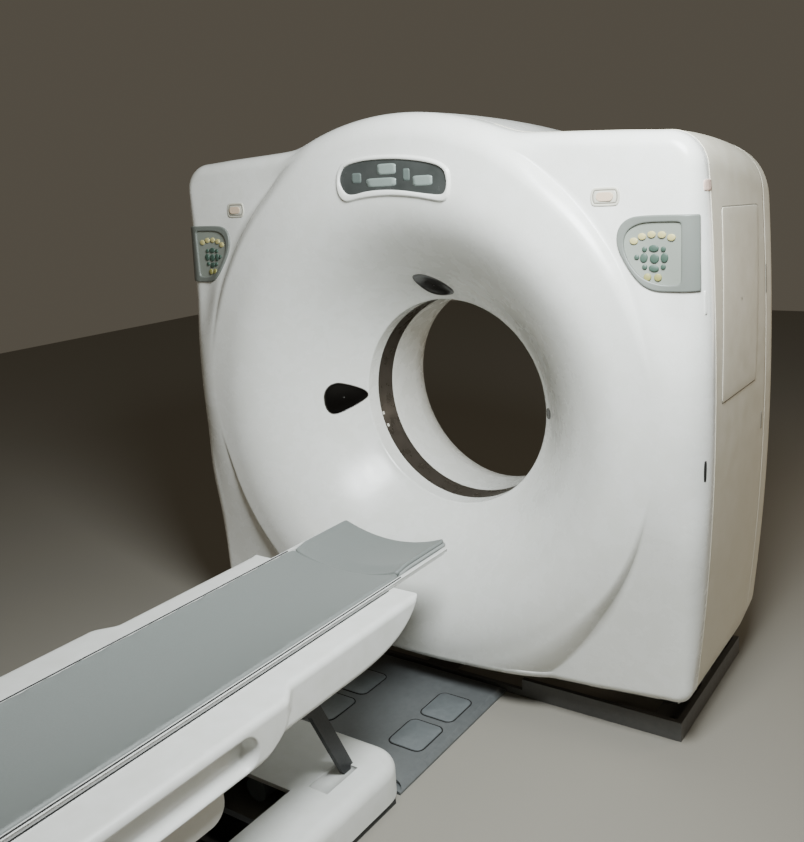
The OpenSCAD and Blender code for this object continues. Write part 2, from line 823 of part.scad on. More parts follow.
// Plinth with its low front rail and the two columns
rail_low = 22;
low_x = 330;
foot_plate_w = 110;
anchor_mid = 10;
anchor_l = 420;
module plinth_form() {
    y0 = -plinth_y0;
    y1 = plinth_y1;
    t = plinth_t;
    both_sides() {
        block([plinth_x - foot_plate_w, y0, 0], [plinth_x, y1, t]);
        block([plinth_x - t, y0, 0], [plinth_x, y1, plinth_h]);
        block([low_x, y0, 0], [plinth_x, y0 + t, plinth_h]);
        block([0, y1 - t, 0], [plinth_x, y1, plinth_h]);
    }
    block([-plinth_x, y0, 0], [plinth_x, y0 + t, rail_low]);
    block([-60, y0, 0], [60, y1, t / 2]);
}
module plinth() color(dark) difference() {
    plinth_form();
    both_sides() for (s = [-1, 1])
        translate([plinth_x - foot_plate_w / 2, anchor_mid + s * anchor_l / 2, -cut]) cylinder(d = anchor_d, h = 2 * plinth_t);
}
bearing_r = trunnion_d / 2 + 52;
knee_z = -150;
module column() color(dark) {
    x1 = column_x + column_w;
    at_iso() difference() {
        union() {
            along_x(column_x, x1) {
                polygon([
                    [-foot_d / 2, plinth_t - iso_h], [foot_d / 2, plinth_t - iso_h],
                    [column_d / 2, knee_z], [bearing_r, 0], [-bearing_r, 0], [-column_d / 2, knee_z]
                ]);
                circle(bearing_r);
            }
        }
        along_x(column_x - cut, x1 + cut) circle(d = trunnion_d + 2 * run_gap);
        for (i = [0:2]) translate([0, 0, -270 - i * 180])
            along_x(column_x - cut, column_x + column_w * 0.7)
                round_rect([-foot_d / 4, -60], [foot_d / 4, 60], foot_d / 5);
    }
}
module right_column() column();
module left_column() left_of() column();
module tilt_gearmotor() color(steel) at_iso() {
    x0 = column_x + column_w;
    along_x(x0, x0 + 42) circle(84);
    translate([x0 + 20, 0, -190]) cylinder(d = 34, h = 150);
    translate([x0 + 21, 0, -250]) cylinder(d = 42, h = 100);
}

// Floor plate with its moulded foot pads
pad_y = [-480, -648];
pad_mid = 166;
pad_w = 112;
pad_l = 128;
pad_r = 20;
groove = 3;
module floor_plate() color("#7b858a") {
    y0 = -base_y0 - 30;
    y1 = -plinth_y0;
    b = floor_bevel;
    difference() {
        hull() {
            block([-plate_x, y0, 0], [plate_x, y1, floor_t / 3]);
            block([-plate_x + b, y0, 0], [plate_x - b, y1 - b, floor_t]);
        }
        intersection() {
            base_form(-seam / 2);
            block([-reach, -reach, base_lift - seam / 2], [reach, 0, reach]);
        }
        for (s = [-1, 1], y = pad_y) translate([s * pad_mid, y, floor_t - groove]) linear_extrude(floor_t)
            difference() {
                round_rect([-pad_w / 2, -pad_l / 2], [pad_w / 2, pad_l / 2], pad_r);
                round_rect(
                    [-pad_w / 2 + groove, -pad_l / 2 + groove], [pad_w / 2 - groove, pad_l / 2 - groove],
                    pad_r - groove
                );
            }
    }
}

// Table base: a steel frame on the floor under a moulded cover
base_wall = 5;
base_y1 = -base_y0 - base_l;
function hinge_y(i) = -pivot_y - i * leg_span;
module base_form(inset) {
    x = base_x - inset;
    z = base_h - inset;
    y0 = base_y1 + inset;
    y1 = -base_y0 - inset;
    e = base_edge_r - inset;
    c = base_corner_r - inset;
    intersection() {
        along_y(y0, y1) {
            translate([-x, -base_h]) square([2 * x, base_h + z - e]);
            translate([-x + e, 0]) square([2 * (x - e), z]);
            for (s = [-1, 1]) translate([s * (x - e), z - e]) circle(e);
        }
        translate([0, 0, -base_h]) linear_extrude(2 * base_h) round_rect([-x, y0], [x, y1], c);
        along_x(-x, x) {
            translate([y0, -base_h]) square([y1 - y0, base_h + z - e / 2]);
            translate([y0 + e / 2, 0]) square([y1 - y0 - e, z]);
            for (y = [y0 + e / 2, y1 - e / 2]) translate([y, z - e / 2]) circle(e / 2);
        }
    }
}
slot_back = 120;
slot_front = 52;
mid_slot_x = 112;
module table_base_cover() color(white) difference() {
    base_form(0);
    base_form(base_wall);
    translate([0, 0, -2 * base_h + base_lift]) linear_extrude(2 * base_h)
        square(4 * base_l, center = true);
    for (i = [0, 1]) both_sides() block(
        [leg_x - leg_t, hinge_y(i) - slot_back, base_h / 2], [leg_x + leg_t, hinge_y(i) + slot_front, 2 * base_h]
    );
    block([-mid_slot_x, hinge_y(0) - 450, base_h / 2], [mid_slot_x, hinge_y(0) - 176, 2 * base_h]);
}
sill = 12;
rib_t = 14;
sill_w = 46;
base_anchor_y = [base_y1 + base_corner_r + 30, -base_y0 - base_corner_r - 30];
module table_base_frame() color(dark) difference() {
    base_frame_form();
    both_sides() for (y = base_anchor_y)
        translate([base_x - base_wall - 1 - sill_w / 2, y, -cut]) cylinder(d = anchor_d, h = 2 * sill);
}
module base_frame_form() {
    x0 = base_x - base_wall - 1;
    y0 = base_y1 + base_corner_r;
    y1 = -base_y0 - base_corner_r;
    both_sides() {
        block([x0 - sill_w, y0, 0], [x0, y1, sill]);
        for (i = [0, 1]) {
            hub = leg_x + leg_t / 2 + 6;
            difference() {
                block([hub, hinge_y(i) - 50, 0], [hub + rib_t, hinge_y(i) + 50, pivot_h + 26]);
                translate([0, hinge_y(i), pivot_h]) along_x(0, reach) circle(d = pin_d + 2 * run_gap);
            }
            block([hub, hinge_y(i) - 50, 0], [x0 - 20, hinge_y(i) + 50, sill]);
        }
    }
    for (y = [y0, hinge_y(0) - 330, hinge_y(1) + 200, y1 - 50]) block([-x0, y, 0], [x0, y + 50, sill]);
    for (y = [hinge_y(0) - 300, hinge_y(0) - 400]) {
        block([-mid_slot_x - 30, y, 0], [mid_slot_x + 30, y + 16, base_h - base_wall - 20]);
        block([-x0, y, 0], [x0, y + 16, sill]);
    }
}
module lift_gearmotor() color(steel) {
    y = hinge_y(0);
    translate([0, y, pivot_h]) difference() {
        along_x(-70, 10) circle(44);
        along_x(-reach, reach) circle(d = pin_d + 2 * run_gap);
    }
    block([-60, y - 40, sill], [0, y + 40, pivot_h - 36]);
    translate([-30, y - 40, pivot_h]) rotate([90, 0, 0]) cylinder(r = 34, h = 120);
}

// Lift legs: cranked plates on a cross shaft, with eyes at both pivots
function lean(a, l) = l * [-sin(a), cos(a)];
knee = lean(shin_lean, shin_l);
leg_lean = acos((iso_h - crown_drop - pivot_h) / leg_l);
crown = lean(leg_lean, leg_l);
eye_r = pin_d / 2 + 14;
crown_r = pin_d / 2 + 9;
knee_r = leg_d / 2 + 1;
function leg_dir(a, b) = (b - a) / norm(b - a);
function leg_off(a, b) = let (d = leg_dir(a, b)) [-d[1], d[0]] * leg_d / 2;
module bar(a, b) {
    o = leg_off(a, b);
    polygon([a + o, b + o, b - o, a - o]);
}
module legs(i) color(dark) translate([0, hinge_y(i), pivot_h]) {
    difference() {
        both_sides() along_x(leg_x - leg_t / 2, leg_x + leg_t / 2) {
            bar([0, 0], knee);
            bar(knee, crown);
            translate(knee) circle(knee_r);
            circle(eye_r);
            translate(crown) circle(crown_r);
        }
        translate([0, crown[0], crown[1]]) along_x(-reach, reach) circle(d = pin_d + 2 * run_gap);
    }
    shaft = leg_x + leg_t / 2 + 6 + rib_t;
    along_x(-shaft, shaft) circle(d = pin_d);
}
module front_legs() legs(0);
module rear_legs() legs(1);

// Table top frame: two long side plates, cross ties and the upper pins
side_t = 10;
side_x0 = cradle_x - side_t;
frame_top = -ledge_z - 12;
frame_bot = -ledge_z - cover_h + table_wall + seat;
tie_h = 14;
tie_w = 60;
module table_frame() color(steel) at_iso() {
    y0 = -tail_y + 70;
    y1 = -nose_y - 90;
    both_sides() {
        block([side_x0, y0, frame_bot], [side_x0 + side_t, y1, frame_top]);
        for (i = [0, 1]) {
            translate([0, hinge_y(i) + crown[0], -crown_drop]) along_x(leg_x - leg_t, side_x0 + cut) circle(d = pin_d);
        }
        for (y = [y1 - 240, y0 + 420, y0 + 20])
            block([side_x0 + side_t, y - 20, frame_bot], [top_x - ledge_r, y + 20, frame_bot + tie_h]);
    }
    for (y = [y1 - tie_w, hinge_y(0) + crown[0] - 160, hinge_y(1) + crown[0] + 460, hinge_y(1) + crown[0] - 120, y0])
        block([-side_x0 - cut, y, frame_bot], [side_x0 + cut, y + tie_w, frame_bot + tie_h]);
}
runner_h = 10;
guide_z1 = -rim_z - runner_h - run_gap;
module cradle_guides() color("#c9cccc") at_iso() both_sides()
    block([side_x0, -tail_y + 80, frame_top], [side_x0 + side_t, -nose_y - 90, guide_z1]);
module cradle_drive() color(dark) at_iso() {
    y = hinge_y(0) + crown[0] - 160;
    block([-90, y, frame_bot + tie_h], [-20, y + tie_w, frame_bot + tie_h + 24]);
    translate([-55, y + tie_w, frame_bot + tie_h + 12]) rotate([-90, 0, 0]) cylinder(r = 12, h = 120);
}

// Side covers of the table: nose, ledge and the arm rest with its long grip
nose_curve = [
    [-nose_y, -ledge_z], [-nose_y - 26, -ledge_z - 58],
    [-nose_y - 90, -ledge_z - cover_h], [-nose_y - 274, -ledge_z - cover_h]
];
rest_curve = [
    [-rest_y, -ledge_z], [-rest_y - 14, -ledge_z - 0.62 * cover_h],
    [-rest_y - 30, -ledge_z - cover_h], [-rest_y - 100, -ledge_z - cover_h]
];
cover_x0 = cradle_x + 4;
module cover_side(line, inset) {
    z1 = -ledge_z - inset;
    polygon(concat(
        [[line[0][0] - inset, z1]],
        [for (p = curve(line, 10, inset)) if (p[1] < z1 - cut) p],
        [[-tail_y - inset, -ledge_z - cover_h + inset], [-tail_y - inset, z1]]
    ));
}
ledge_r = 14;
module cover_end(x, inset) {
    z0 = -ledge_z - cover_h + inset;
    z1 = -ledge_z - inset;
    r = ledge_r - inset;
    translate([0, z0]) square([x - inset - r, z1 - z0]);
    translate([0, z0 + r]) square([x - inset, z1 - z0 - 2 * r]);
    for (z = [z0 + r, z1 - r]) translate([x - inset - r, z]) circle(r);
}
module rest_form(x, line, inset) {
    intersection() {
        along_x(cover_x0 - inset, rest_x + cut) cover_side(line, inset);
        along_y(-tail_y - wall, 0) cover_end(x, inset);
    }
}
module grip(grow) {
    r = grip_h / 2;
    translate([0, -grip_y - grip_l, -ledge_z - cover_h / 2 - 4]) along_x(rest_x - grip_d - grow, reach)
        round_rect([-grow, -r - grow], [grip_l + grow, r + grow], r + grow - cut);
}
module cover_shell(x, line, y0, y1) {
    intersection() {
        difference() {
            rest_form(x, line, 0);
            rest_form(x, line, table_wall);
        }
        block([0, y0, -reach], [reach, y1, reach]);
    }
}
module table_cover() color(white) at_iso() difference() {
    union() {
        cover_shell(top_x, nose_curve, -rest_y - 60, 0);
        cover_shell(rest_x, rest_curve, -tail_y + 60, 0);
        intersection() {
            grip(table_wall);
            block([0, -reach, -reach], [rest_x - table_wall / 2, 0, reach]);
        }
    }
    grip(0);
    block([0, -reach, -reach], [cover_x0 + 12, 0, -ledge_z - table_wall]);
}
module right_table_cover() table_cover();
module left_table_cover() left_of() table_cover();

skirt_x = top_x - 12;
skirt_t = 5;
skirt_r = 40;
module table_skirt() color(white) at_iso() {
    z1 = -ledge_z - cover_h;
    along_x(skirt_x - skirt_t, skirt_x) difference() {
        round_rect([-tail_y + 60, z1 - skirt_h], [-skirt_y, z1 + skirt_r], skirt_r);
        translate([-reach, z1]) square([reach, reach]);
    }
    block([skirt_x - 30, -tail_y + 100, z1 - skirt_t], [skirt_x, -skirt_y - skirt_r, z1]);
}
module right_table_skirt() table_skirt();
module left_table_skirt() left_of() table_skirt();
module table_end_cover() color(white) at_iso() {
    y0 = -tail_y;
    y1 = -tail_y + 60 - seam;
    difference() {
        translate([0, 0, 0]) intersection() {
            along_y(y0, y1) round_rect([-rest_x, -ledge_z - cover_h], [rest_x, -ledge_z], ledge_r);
            linear_extrude(2 * reach, center = true) round_rect([-rest_x, y0], [rest_x, y1 + 60], 40);
        }
        block([-cradle_x - 3, y0 + 20, -ledge_z - hollow - shell_t - 20], [cradle_x + 3, reach, reach]);
        block(
            [-rest_x + 8, y0 + 12, -ledge_z - cover_h + 8],
            [rest_x - 8, reach, -ledge_z - hollow - shell_t - 26]
        );
    }
}

// Cradle: a hollowed shell with rims, its mattress and the head holder
rim_w = 12;
rim_drop = 6;
hollow_half = cradle_x - rim_w + cut;
// A strip of a round trough, t thick, whose upper face has radius r and its lowest point at z
module trough(r, z, t, half) {
    intersection() {
        translate([0, z + r]) difference() {
            circle(r + t, $fn = 180);
            circle(r, $fn = 180);
        }
        translate([-half, z - t]) square([2 * half, r]);
    }
}
function trough_r(half, sag) = (half * half + sag * sag) / (2 * sag);
hollow_r = trough_r(hollow_half, hollow);
hollow_z = -rim_z - rim_drop - hollow;
module cradle() color(white) at_iso() along_y(-cradle_y - cradle_l, -cradle_y) {
    trough(hollow_r, hollow_z, shell_t, hollow_half);
    for (s = [-1, 1]) translate([s * (cradle_x - rim_w / 2), -rim_z - runner_h / 2])
        square([rim_w, runner_h], center = true);
}
head_y1 = -cradle_y + head_reach;
head_y0 = head_y1 - head_l;
module mattress() color(grey) at_iso() along_y(-cradle_y - cradle_l + 30, head_y0 - 6)
    trough(hollow_r - seat - mattress_t, hollow_z + seat + mattress_t, mattress_t, mattress_x);
head_half = 190;
head_r = trough_r(head_half - 10, 40);
head_z = hollow_z + 22;
holder_t = 6;
foot_w = 40;
foot_l = 150;
module head_holder() color(grey) at_iso() {
    z = head_z - head_t - seat;
    along_y(head_y0, head_y1) trough(head_r + head_t + seat, z, holder_t, head_half);
    block([-foot_w / 2, head_y0 + 10, hollow_z + 2 * seat], [foot_w / 2, head_y0 + 10 + foot_l, z - holder_t + cut]);
}
module head_pad() color(grey) at_iso() along_y(head_y0 + 4, head_y1 - 2)
    trough(head_r, head_z, head_t, head_half - 6);

plinth();
floor_plate();
left_column();
right_column();
tilt_gearmotor();
table_base_frame();
table_base_cover();
lift_gearmotor();
front_legs();
rear_legs();
table_frame();
left_table_cover();
right_table_cover();
left_table_skirt();
right_table_skirt();
table_end_cover();
cradle_guides();
cradle_drive();
cradle();
mattress();
head_holder();
head_pad();
front_cover();
rear_cover();
top_cover();
left_side_cover();
right_side_cover();
left_access_panel();
right_access_panel();
scan_window();
rear_bore_liner();
display_frame_ring();
display_screen();
left_control_panel();
right_control_panel();
left_keypad();
right_keypad();
left_stop_housing();
right_stop_housing();
left_stop_button();
right_stop_button();
top_laser_window();
left_laser_window();
right_laser_window();
tilt_frame();
bearing_outer_race();
drive_motor();
drive_belt();
brush_block();
motor_pulley();
rotor_drum();
bearing_inner_race();
slip_ring();
xray_tube();
collimator();
high_voltage_tank();
detector_array();
data_unit();
counterweight();
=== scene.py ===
# %% [markdown]
# # A CT scanner in Blender
# This lesson dresses a imported CAD model of a CT scanner: a ring gantry, its floor plate and a patient table.
# New pieces are modelled round them, in metres. X is across, Y is along the bore with the table at the
# negative end, and Z is up from the floor. The frame is loaded first.

import json
import math

import bmesh
import bpy
import numpy as np
from mathutils import Matrix, Vector
from mathutils.bvhtree import BVHTree


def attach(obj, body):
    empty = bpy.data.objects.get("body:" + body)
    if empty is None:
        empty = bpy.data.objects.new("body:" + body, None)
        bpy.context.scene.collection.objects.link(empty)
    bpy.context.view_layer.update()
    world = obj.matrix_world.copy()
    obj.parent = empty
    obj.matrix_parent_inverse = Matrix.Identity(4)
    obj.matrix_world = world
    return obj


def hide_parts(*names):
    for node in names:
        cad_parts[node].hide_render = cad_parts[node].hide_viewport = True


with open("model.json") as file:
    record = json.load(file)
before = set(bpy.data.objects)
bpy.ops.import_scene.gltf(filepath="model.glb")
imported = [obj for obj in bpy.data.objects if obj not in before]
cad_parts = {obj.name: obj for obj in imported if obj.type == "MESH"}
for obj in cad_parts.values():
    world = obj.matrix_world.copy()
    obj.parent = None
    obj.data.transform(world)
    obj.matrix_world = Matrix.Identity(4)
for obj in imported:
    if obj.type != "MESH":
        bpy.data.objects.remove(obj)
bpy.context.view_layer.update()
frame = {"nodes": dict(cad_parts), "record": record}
nodes = frame["nodes"]
print(len(nodes), "CAD nodes loaded")

# %% [markdown]
# ## Names for the sizes
# A scanner is drawn round the axis of its bore. Sizes that several covers share could be typed in each
# place, but one name for each keeps the pieces together when a size changes. All are in metres.

# %% Sizes
ISO = 0.9  # height of the bore's axis over the floor
BORE = 0.35  # radius of the bore
DRUM_R, DRUM_D = 0.740, 0.394  # the funnel's drum: radius and depth where it turns flat
RIDGE_D = 0.391  # depth of the ridge round the drum
FACE = 0.349  # depth of the flat front face
REAR = 0.325  # the back wall
SEAM_FRONT, SEAM_REAR = 0.285, 0.210  # where the front cover ends and the rear cover starts
LIP = 0.006  # how far a cover's edge turns inward at a seam
OPEN_X = 0.860  # half the width that is open below, for the columns
OPEN_FRONT, OPEN_REAR_Z = 0.3365, -0.634  # where the front and rear covers end over that opening
print("bore", 2 * BORE, "m across, depth of the covers", FACE + REAR, "m")

# %% [markdown]
# ## Small helpers
# Moulded covers have curves that change all the way round. They could be sculpted or subdivided from a
# cage, but a numpy grid of points gives each line its true shape. `grid_mesh` joins neighbouring rows of
# such a grid with quads. `smoothstep` and `wrap_smooth` soften a change in a table of sizes.

# %% Mesh helpers
def new_object(name, verts, faces, smooth=True):
    mesh = bpy.data.meshes.new(name)
    mesh.from_pydata([tuple(map(float, v)) for v in verts], [], [tuple(map(int, f)) for f in faces])
    mesh.validate()
    mesh.update()
    if smooth:
        mesh.polygons.foreach_set("use_smooth", [True] * len(mesh.polygons))
    obj = bpy.data.objects.new(name, mesh)
    bpy.context.scene.collection.objects.link(obj)
    return obj


def grid_faces(rows, cols, close_cols=False):
    faces = []
    for i in range(rows - 1):
        for j in range(cols if close_cols else cols - 1):
            j2 = (j + 1) % cols
            faces.append([i * cols + j, i * cols + j2, (i + 1) * cols + j2, (i + 1) * cols + j])
    return faces


def grid_mesh(name, points, close_cols=False):
    points = np.asarray(points, float)
    rows, cols = points.shape[:2]
    return new_object(name, points.reshape(-1, 3), grid_faces(rows, cols, close_cols))


def curve_points(control, count):
    t = np.linspace(0, 1, count)[:, None]
    p = np.asarray(control, float)
    return (1 - t) ** 3 * p[0] + 3 * t * (1 - t) ** 2 * p[1] + 3 * t**2 * (1 - t) * p[2] + t**3 * p[3]


def smoothstep(x, low, high):
    t = np.clip((np.asarray(x, float) - low) / (high - low), 0, 1)
    return t * t * (3 - 2 * t)


def wrap_smooth(values, sigma):
    reach = int(4 * sigma) + 1
    kernel = np.exp(-0.5 * (np.arange(-reach, reach + 1) / sigma) ** 2)
    kernel /= kernel.sum()
    wide = np.concatenate([values[-reach:], values, values[:reach]])
    return np.convolve(wide, kernel, mode="valid")


def ride(obj, body):
    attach(obj, body)
    return obj


print("mesh helpers ready")

# %% [markdown]
# ## Materials
# The real covers are moulded plastic and painted fibreglass with a soft gloss and a faint change of tone.
# Image textures could carry that, but noise on Object coordinates needs no unwrapping and keeps its real
# size. One function adds a node with its inputs. A colour is given as it looks on screen and turned to
# linear light. `patterned` takes the size of a patch and the height of a bump in millimetres.

# %% Material helpers
def linear(hex_colour):
    parts = [int(hex_colour[i : i + 2], 16) / 255 for i in (1, 3, 5)]
    return [c / 12.92 if c <= 0.04045 else ((c + 0.055) / 1.055) ** 2.4 for c in parts] + [1.0]


def add_node(tree, kind, x, y, **values):
    node = tree.nodes.new(kind)
    node.location = (x, y)
    for key, value in values.items():
        node.inputs[key.replace("_", " ")].default_value = value
    return node


def base_material(name, colour, roughness, metallic=0.0, **more):
    mat = bpy.data.materials.new(name)
    mat.use_nodes = True
    tree = mat.node_tree
    shader = tree.nodes["Principled BSDF"]
    shader.inputs["Base Color"].default_value = linear(colour)
    shader.inputs["Roughness"].default_value = roughness
    shader.inputs["Metallic"].default_value = metallic
    for key, value in more.items():
        shader.inputs[key.replace("_", " ")].default_value = value
    return mat, tree, shader


def add_pattern(tree, shader, size_mm, rough_low, rough_high, bump_mm=0.0, tint=None, detail=4.0):
    coords = add_node(tree, "ShaderNodeTexCoord", -900, 0)
    noise = add_node(tree, "ShaderNodeTexNoise", -700, 0, Scale=1000 / size_mm, Detail=detail, Roughness=0.55)
    tree.links.new(coords.outputs["Object"], noise.inputs["Vector"])
    rough = add_node(tree, "ShaderNodeMapRange", -450, -150)
    rough.inputs["From Min"].default_value, rough.inputs["From Max"].default_value = 0.3, 0.7
    rough.inputs["To Min"].default_value, rough.inputs["To Max"].default_value = rough_low, rough_high
    tree.links.new(noise.outputs["Fac"], rough.inputs["Value"])
    tree.links.new(rough.outputs["Result"], shader.inputs["Roughness"])
    if tint:
        ramp = add_node(tree, "ShaderNodeValToRGB", -450, 200)
        ramp.color_ramp.elements[0].position, ramp.color_ramp.elements[1].position = 0.3, 0.7
        ramp.color_ramp.elements[0].color, ramp.color_ramp.elements[1].color = linear(tint[0]), linear(tint[1])
        tree.links.new(noise.outputs["Fac"], ramp.inputs["Fac"])
        tree.links.new(ramp.outputs["Color"], shader.inputs["Base Color"])
    if bump_mm:
        bump = add_node(tree, "ShaderNodeBump", -200, -350, Strength=1.0, Distance=bump_mm / 1000)
        tree.links.new(noise.outputs["Fac"], bump.inputs["Height"])
        tree.links.new(bump.outputs["Normal"], shader.inputs["Normal"])


def patterned(name, colour, roughness, size_mm, spread=0.06, bump_mm=0.0, tint=None, metallic=0.0, **more):
    mat, tree, shader = base_material(name, colour, roughness, metallic, **more)
    add_pattern(tree, shader, size_mm, roughness - spread, roughness + spread, bump_mm, tint)
    return mat


print("material helpers ready")

# %% [markdown]
# ## The finishes
# Each finish starts from the real material: its index of refraction, its roughness and whether it is a
# metal. The colours are then matched to the object. A grain too fine to show is drawn as coarse as it
# needs to be seen, which is why the patches are some millimetres wide.

# %% The materials
M = {
    # a smooth moulding with a soft gloss: wide highlights on the funnel
    "cover": patterned("moulded_abs_white", "#e2e3dd", 0.27, 60, 0.05, tint=("#e0e1da", "#e5e6e1"), IOR=1.5),
    # the same moulding, warmer and duller, and a little darker as painted shade, for the side and rear covers
    "side": patterned("moulded_abs_side_shaded", "#d9d4c2", 0.4, 60, 0.05, tint=("#d6d1be", "#dcd8c8"), IOR=1.5),
    # sprayed fibreglass, slightly uneven in gloss
    "table": patterned(
        "painted_fibreglass_white", "#dcddd8", 0.4, 50, 0.05, tint=("#d8d9d3", "#e0e1dd"), IOR=1.5
    ),
    # welded vinyl with a fine grain, so no sharp highlight
    "vinyl": patterned("grey_vinyl", "#777c79", 0.52, 3, 0.06, 0.05, ("#737875", "#7b807d"), IOR=1.48),
    # a matt moulding that is a shade lighter than the pads
    "holder": patterned(
        "grey_moulded_plastic", "#8b8f8c", 0.5, 4, 0.05, 0.02, ("#878b88", "#8f9390"), IOR=1.48
    ),
    # a lacquered carbon shell: a thin bright edge along the table
    "cradle": patterned("carbon_shell_white", "#d2d3cf", 0.42, 30, 0.04, IOR=1.5),
    # smoked acrylic, nearly black and shiny
    "glass": patterned("smoked_acrylic", "#0b0a09", 0.1, 30, 0.03, IOR=1.49),
    # a dark window ring that passes X-rays, polished but worn
    "ring": patterned("dark_polycarbonate", "#38332d", 0.3, 40, 0.06, tint=("#322e28", "#3e3933"), IOR=1.58),
    # tinted acrylic over the display
    "screen": patterned("display_acrylic", "#3d403e", 0.25, 60, 0.04, tint=("#383b39", "#434644"), IOR=1.49),
    # a lit segment seen through the tint
    "segment": patterned("display_segment", "#7d8883", 0.35, 20, 0.03, IOR=1.49),
    # grey moulding, silky
    "panel": patterned("grey_abs", "#70756f", 0.42, 25, 0.04, IOR=1.5),
    # the printed foil of the keypad
    "pad": patterned("keypad_membrane", "#848a81", 0.45, 12, 0.04, IOR=1.5),
    # embossed keys, cream
    "key_cream": patterned("key_cream", "#b5ad76", 0.45, 6, 0.04, IOR=1.5),
    # embossed keys, olive
    "key_olive": patterned("key_olive", "#8d8a52", 0.45, 6, 0.04, IOR=1.5),
    # embossed keys, grey green
    "key_green": patterned("key_grey_green", "#3f5449", 0.45, 6, 0.04, IOR=1.5),
    # moulded button, faded
    "stop": patterned("stop_button_plastic", "#d2bca4", 0.4, 8, 0.04, IOR=1.5),
    # its plate, nearly the cover's white
    "stop_plate": patterned("stop_plate_plastic", "#c2c0b2", 0.4, 8, 0.04, IOR=1.5),
    # thick floor paint with a soft sheen
    "plate": patterned(
        "painted_floor_plate", "#5b5e5e", 0.42, 14, 0.08, 0.05, ("#565959", "#616464"), IOR=1.5
    ),
    # the raised pads, worn a little lighter
    "plate_light": patterned(
        "painted_floor_pads", "#626768", 0.38, 14, 0.08, 0.03, ("#5d6263", "#686d6e"), IOR=1.5
    ),
    # dark paint on rolled steel
    "plinth": patterned(
        "painted_plinth_steel", "#4f4f4c", 0.5, 20, 0.08, 0.04, ("#4a4a48", "#555451"), IOR=1.5
    ),
    # turned steel: fine, dull streak of light
    "steel": patterned("machined_steel", "#8b8d8f", 0.35, 5, 0.08, 0.01, metallic=1.0),
    # ground steel, clearer than turned steel
    "bright": patterned("ground_steel", "#b5b7b9", 0.22, 4, 0.05, metallic=1.0),
    # black paint over steel, with a slight orange peel
    "dark": patterned("black_painted_steel", "#2b2c2d", 0.5, 8, 0.07, 0.02, IOR=1.5),
    # dull rubber, almost no highlight
    "rubber": patterned("belt_rubber", "#191919", 0.75, 3, 0.06, 0.03, IOR=1.5),
    # cast aluminium with a coarse skin
    "cast": patterned("cast_aluminium", "#9a9c9d", 0.42, 3, 0.08, 0.04, metallic=1.0),
    # grey paint on the units inside
    "unit": patterned("painted_unit_grey", "#73797c", 0.48, 10, 0.06, 0.02, IOR=1.5),
    # polished brass tracks
    "copper": patterned("slip_ring_brass", "#b08d57", 0.3, 4, 0.06, metallic=1.0),
    # the shadow in a gap
    "gap": patterned("shadow_gap", "#1d1c1a", 0.8, 10, 0.05, IOR=1.45),
    # a shallow shadow line
    "groove": patterned("panel_groove", "#6f6c62", 0.6, 10, 0.05, IOR=1.45),
    # a faded plastic latch
    "pink": patterned("label_plate_pink", "#cdb5a8", 0.45, 8, 0.04, IOR=1.5),
    # a segment that is off
    "segment_dim": patterned("display_segment_dim", "#5c6662", 0.35, 20, 0.03, IOR=1.49),
    # woven white tape
    "mark": patterned("white_tape", "#d5d3c8", 0.6, 3, 0.04, IOR=1.45),
}
SLOT_OF = {
    "gantry_plastic": "cover", "table_plastic": "table", "cradle_shell": "cradle", "vinyl_pad": "vinyl",
    "holder_shell": "holder", "dark_window": "ring", "display": "screen", "panel_grey": "panel",
    "stop_button": "stop", "floor_plate": "plate", "painted_steel": "dark", "bright_steel": "bright",
    "belt_rubber": "rubber", "slip_ring": "copper", "cast_metal": "cast", "unit_housing": "unit",
}
print(len(M), "materials")


def paint(obj, key):
    obj.data.materials.clear()
    obj.data.materials.append(M[key])
    return obj

# %% [markdown]
# ## CAD nodes take a material each
# Legs, columns, rotor and gears keep their CAD meshes. Each could be painted by hand, but the packed
# record already says which slot a node belongs to, so one loop paints them all.

# %% Paint the CAD nodes
for part in frame["record"]["subparts"]:
    node = nodes[part["node"]]
    paint(node, SLOT_OF.get(part["material_slot"], "unit"))
paint(nodes["plinth"], "plinth")
paint(nodes["rear_bore_liner"], "cover")

# %% [markdown]
# ## The outline of the gantry
# The housing has a bowed foot, barrel sides, round shoulders and a dome over the rotor. A traced curve
# object could give it too, but a rule can change along the depth. Half of the outline is a chain of short
# curves from the bottom centre to the top centre. `v` is 0 at the front seam and 1 at the back: the roof
# sinks and the shoulder grows rounder along the way.

# %% Outline
TURNS = 720


def arc_points(cx, cz, r, a0, a1, count):
    a = np.radians(np.linspace(a0, a1, count))
    return np.stack([cx + r * np.cos(a), cz + r * np.sin(a)], 1)


def half_width(z):
    return 0.940 - np.where(z > 0.09, 0.060, 0.070) * (z - 0.09) ** 2


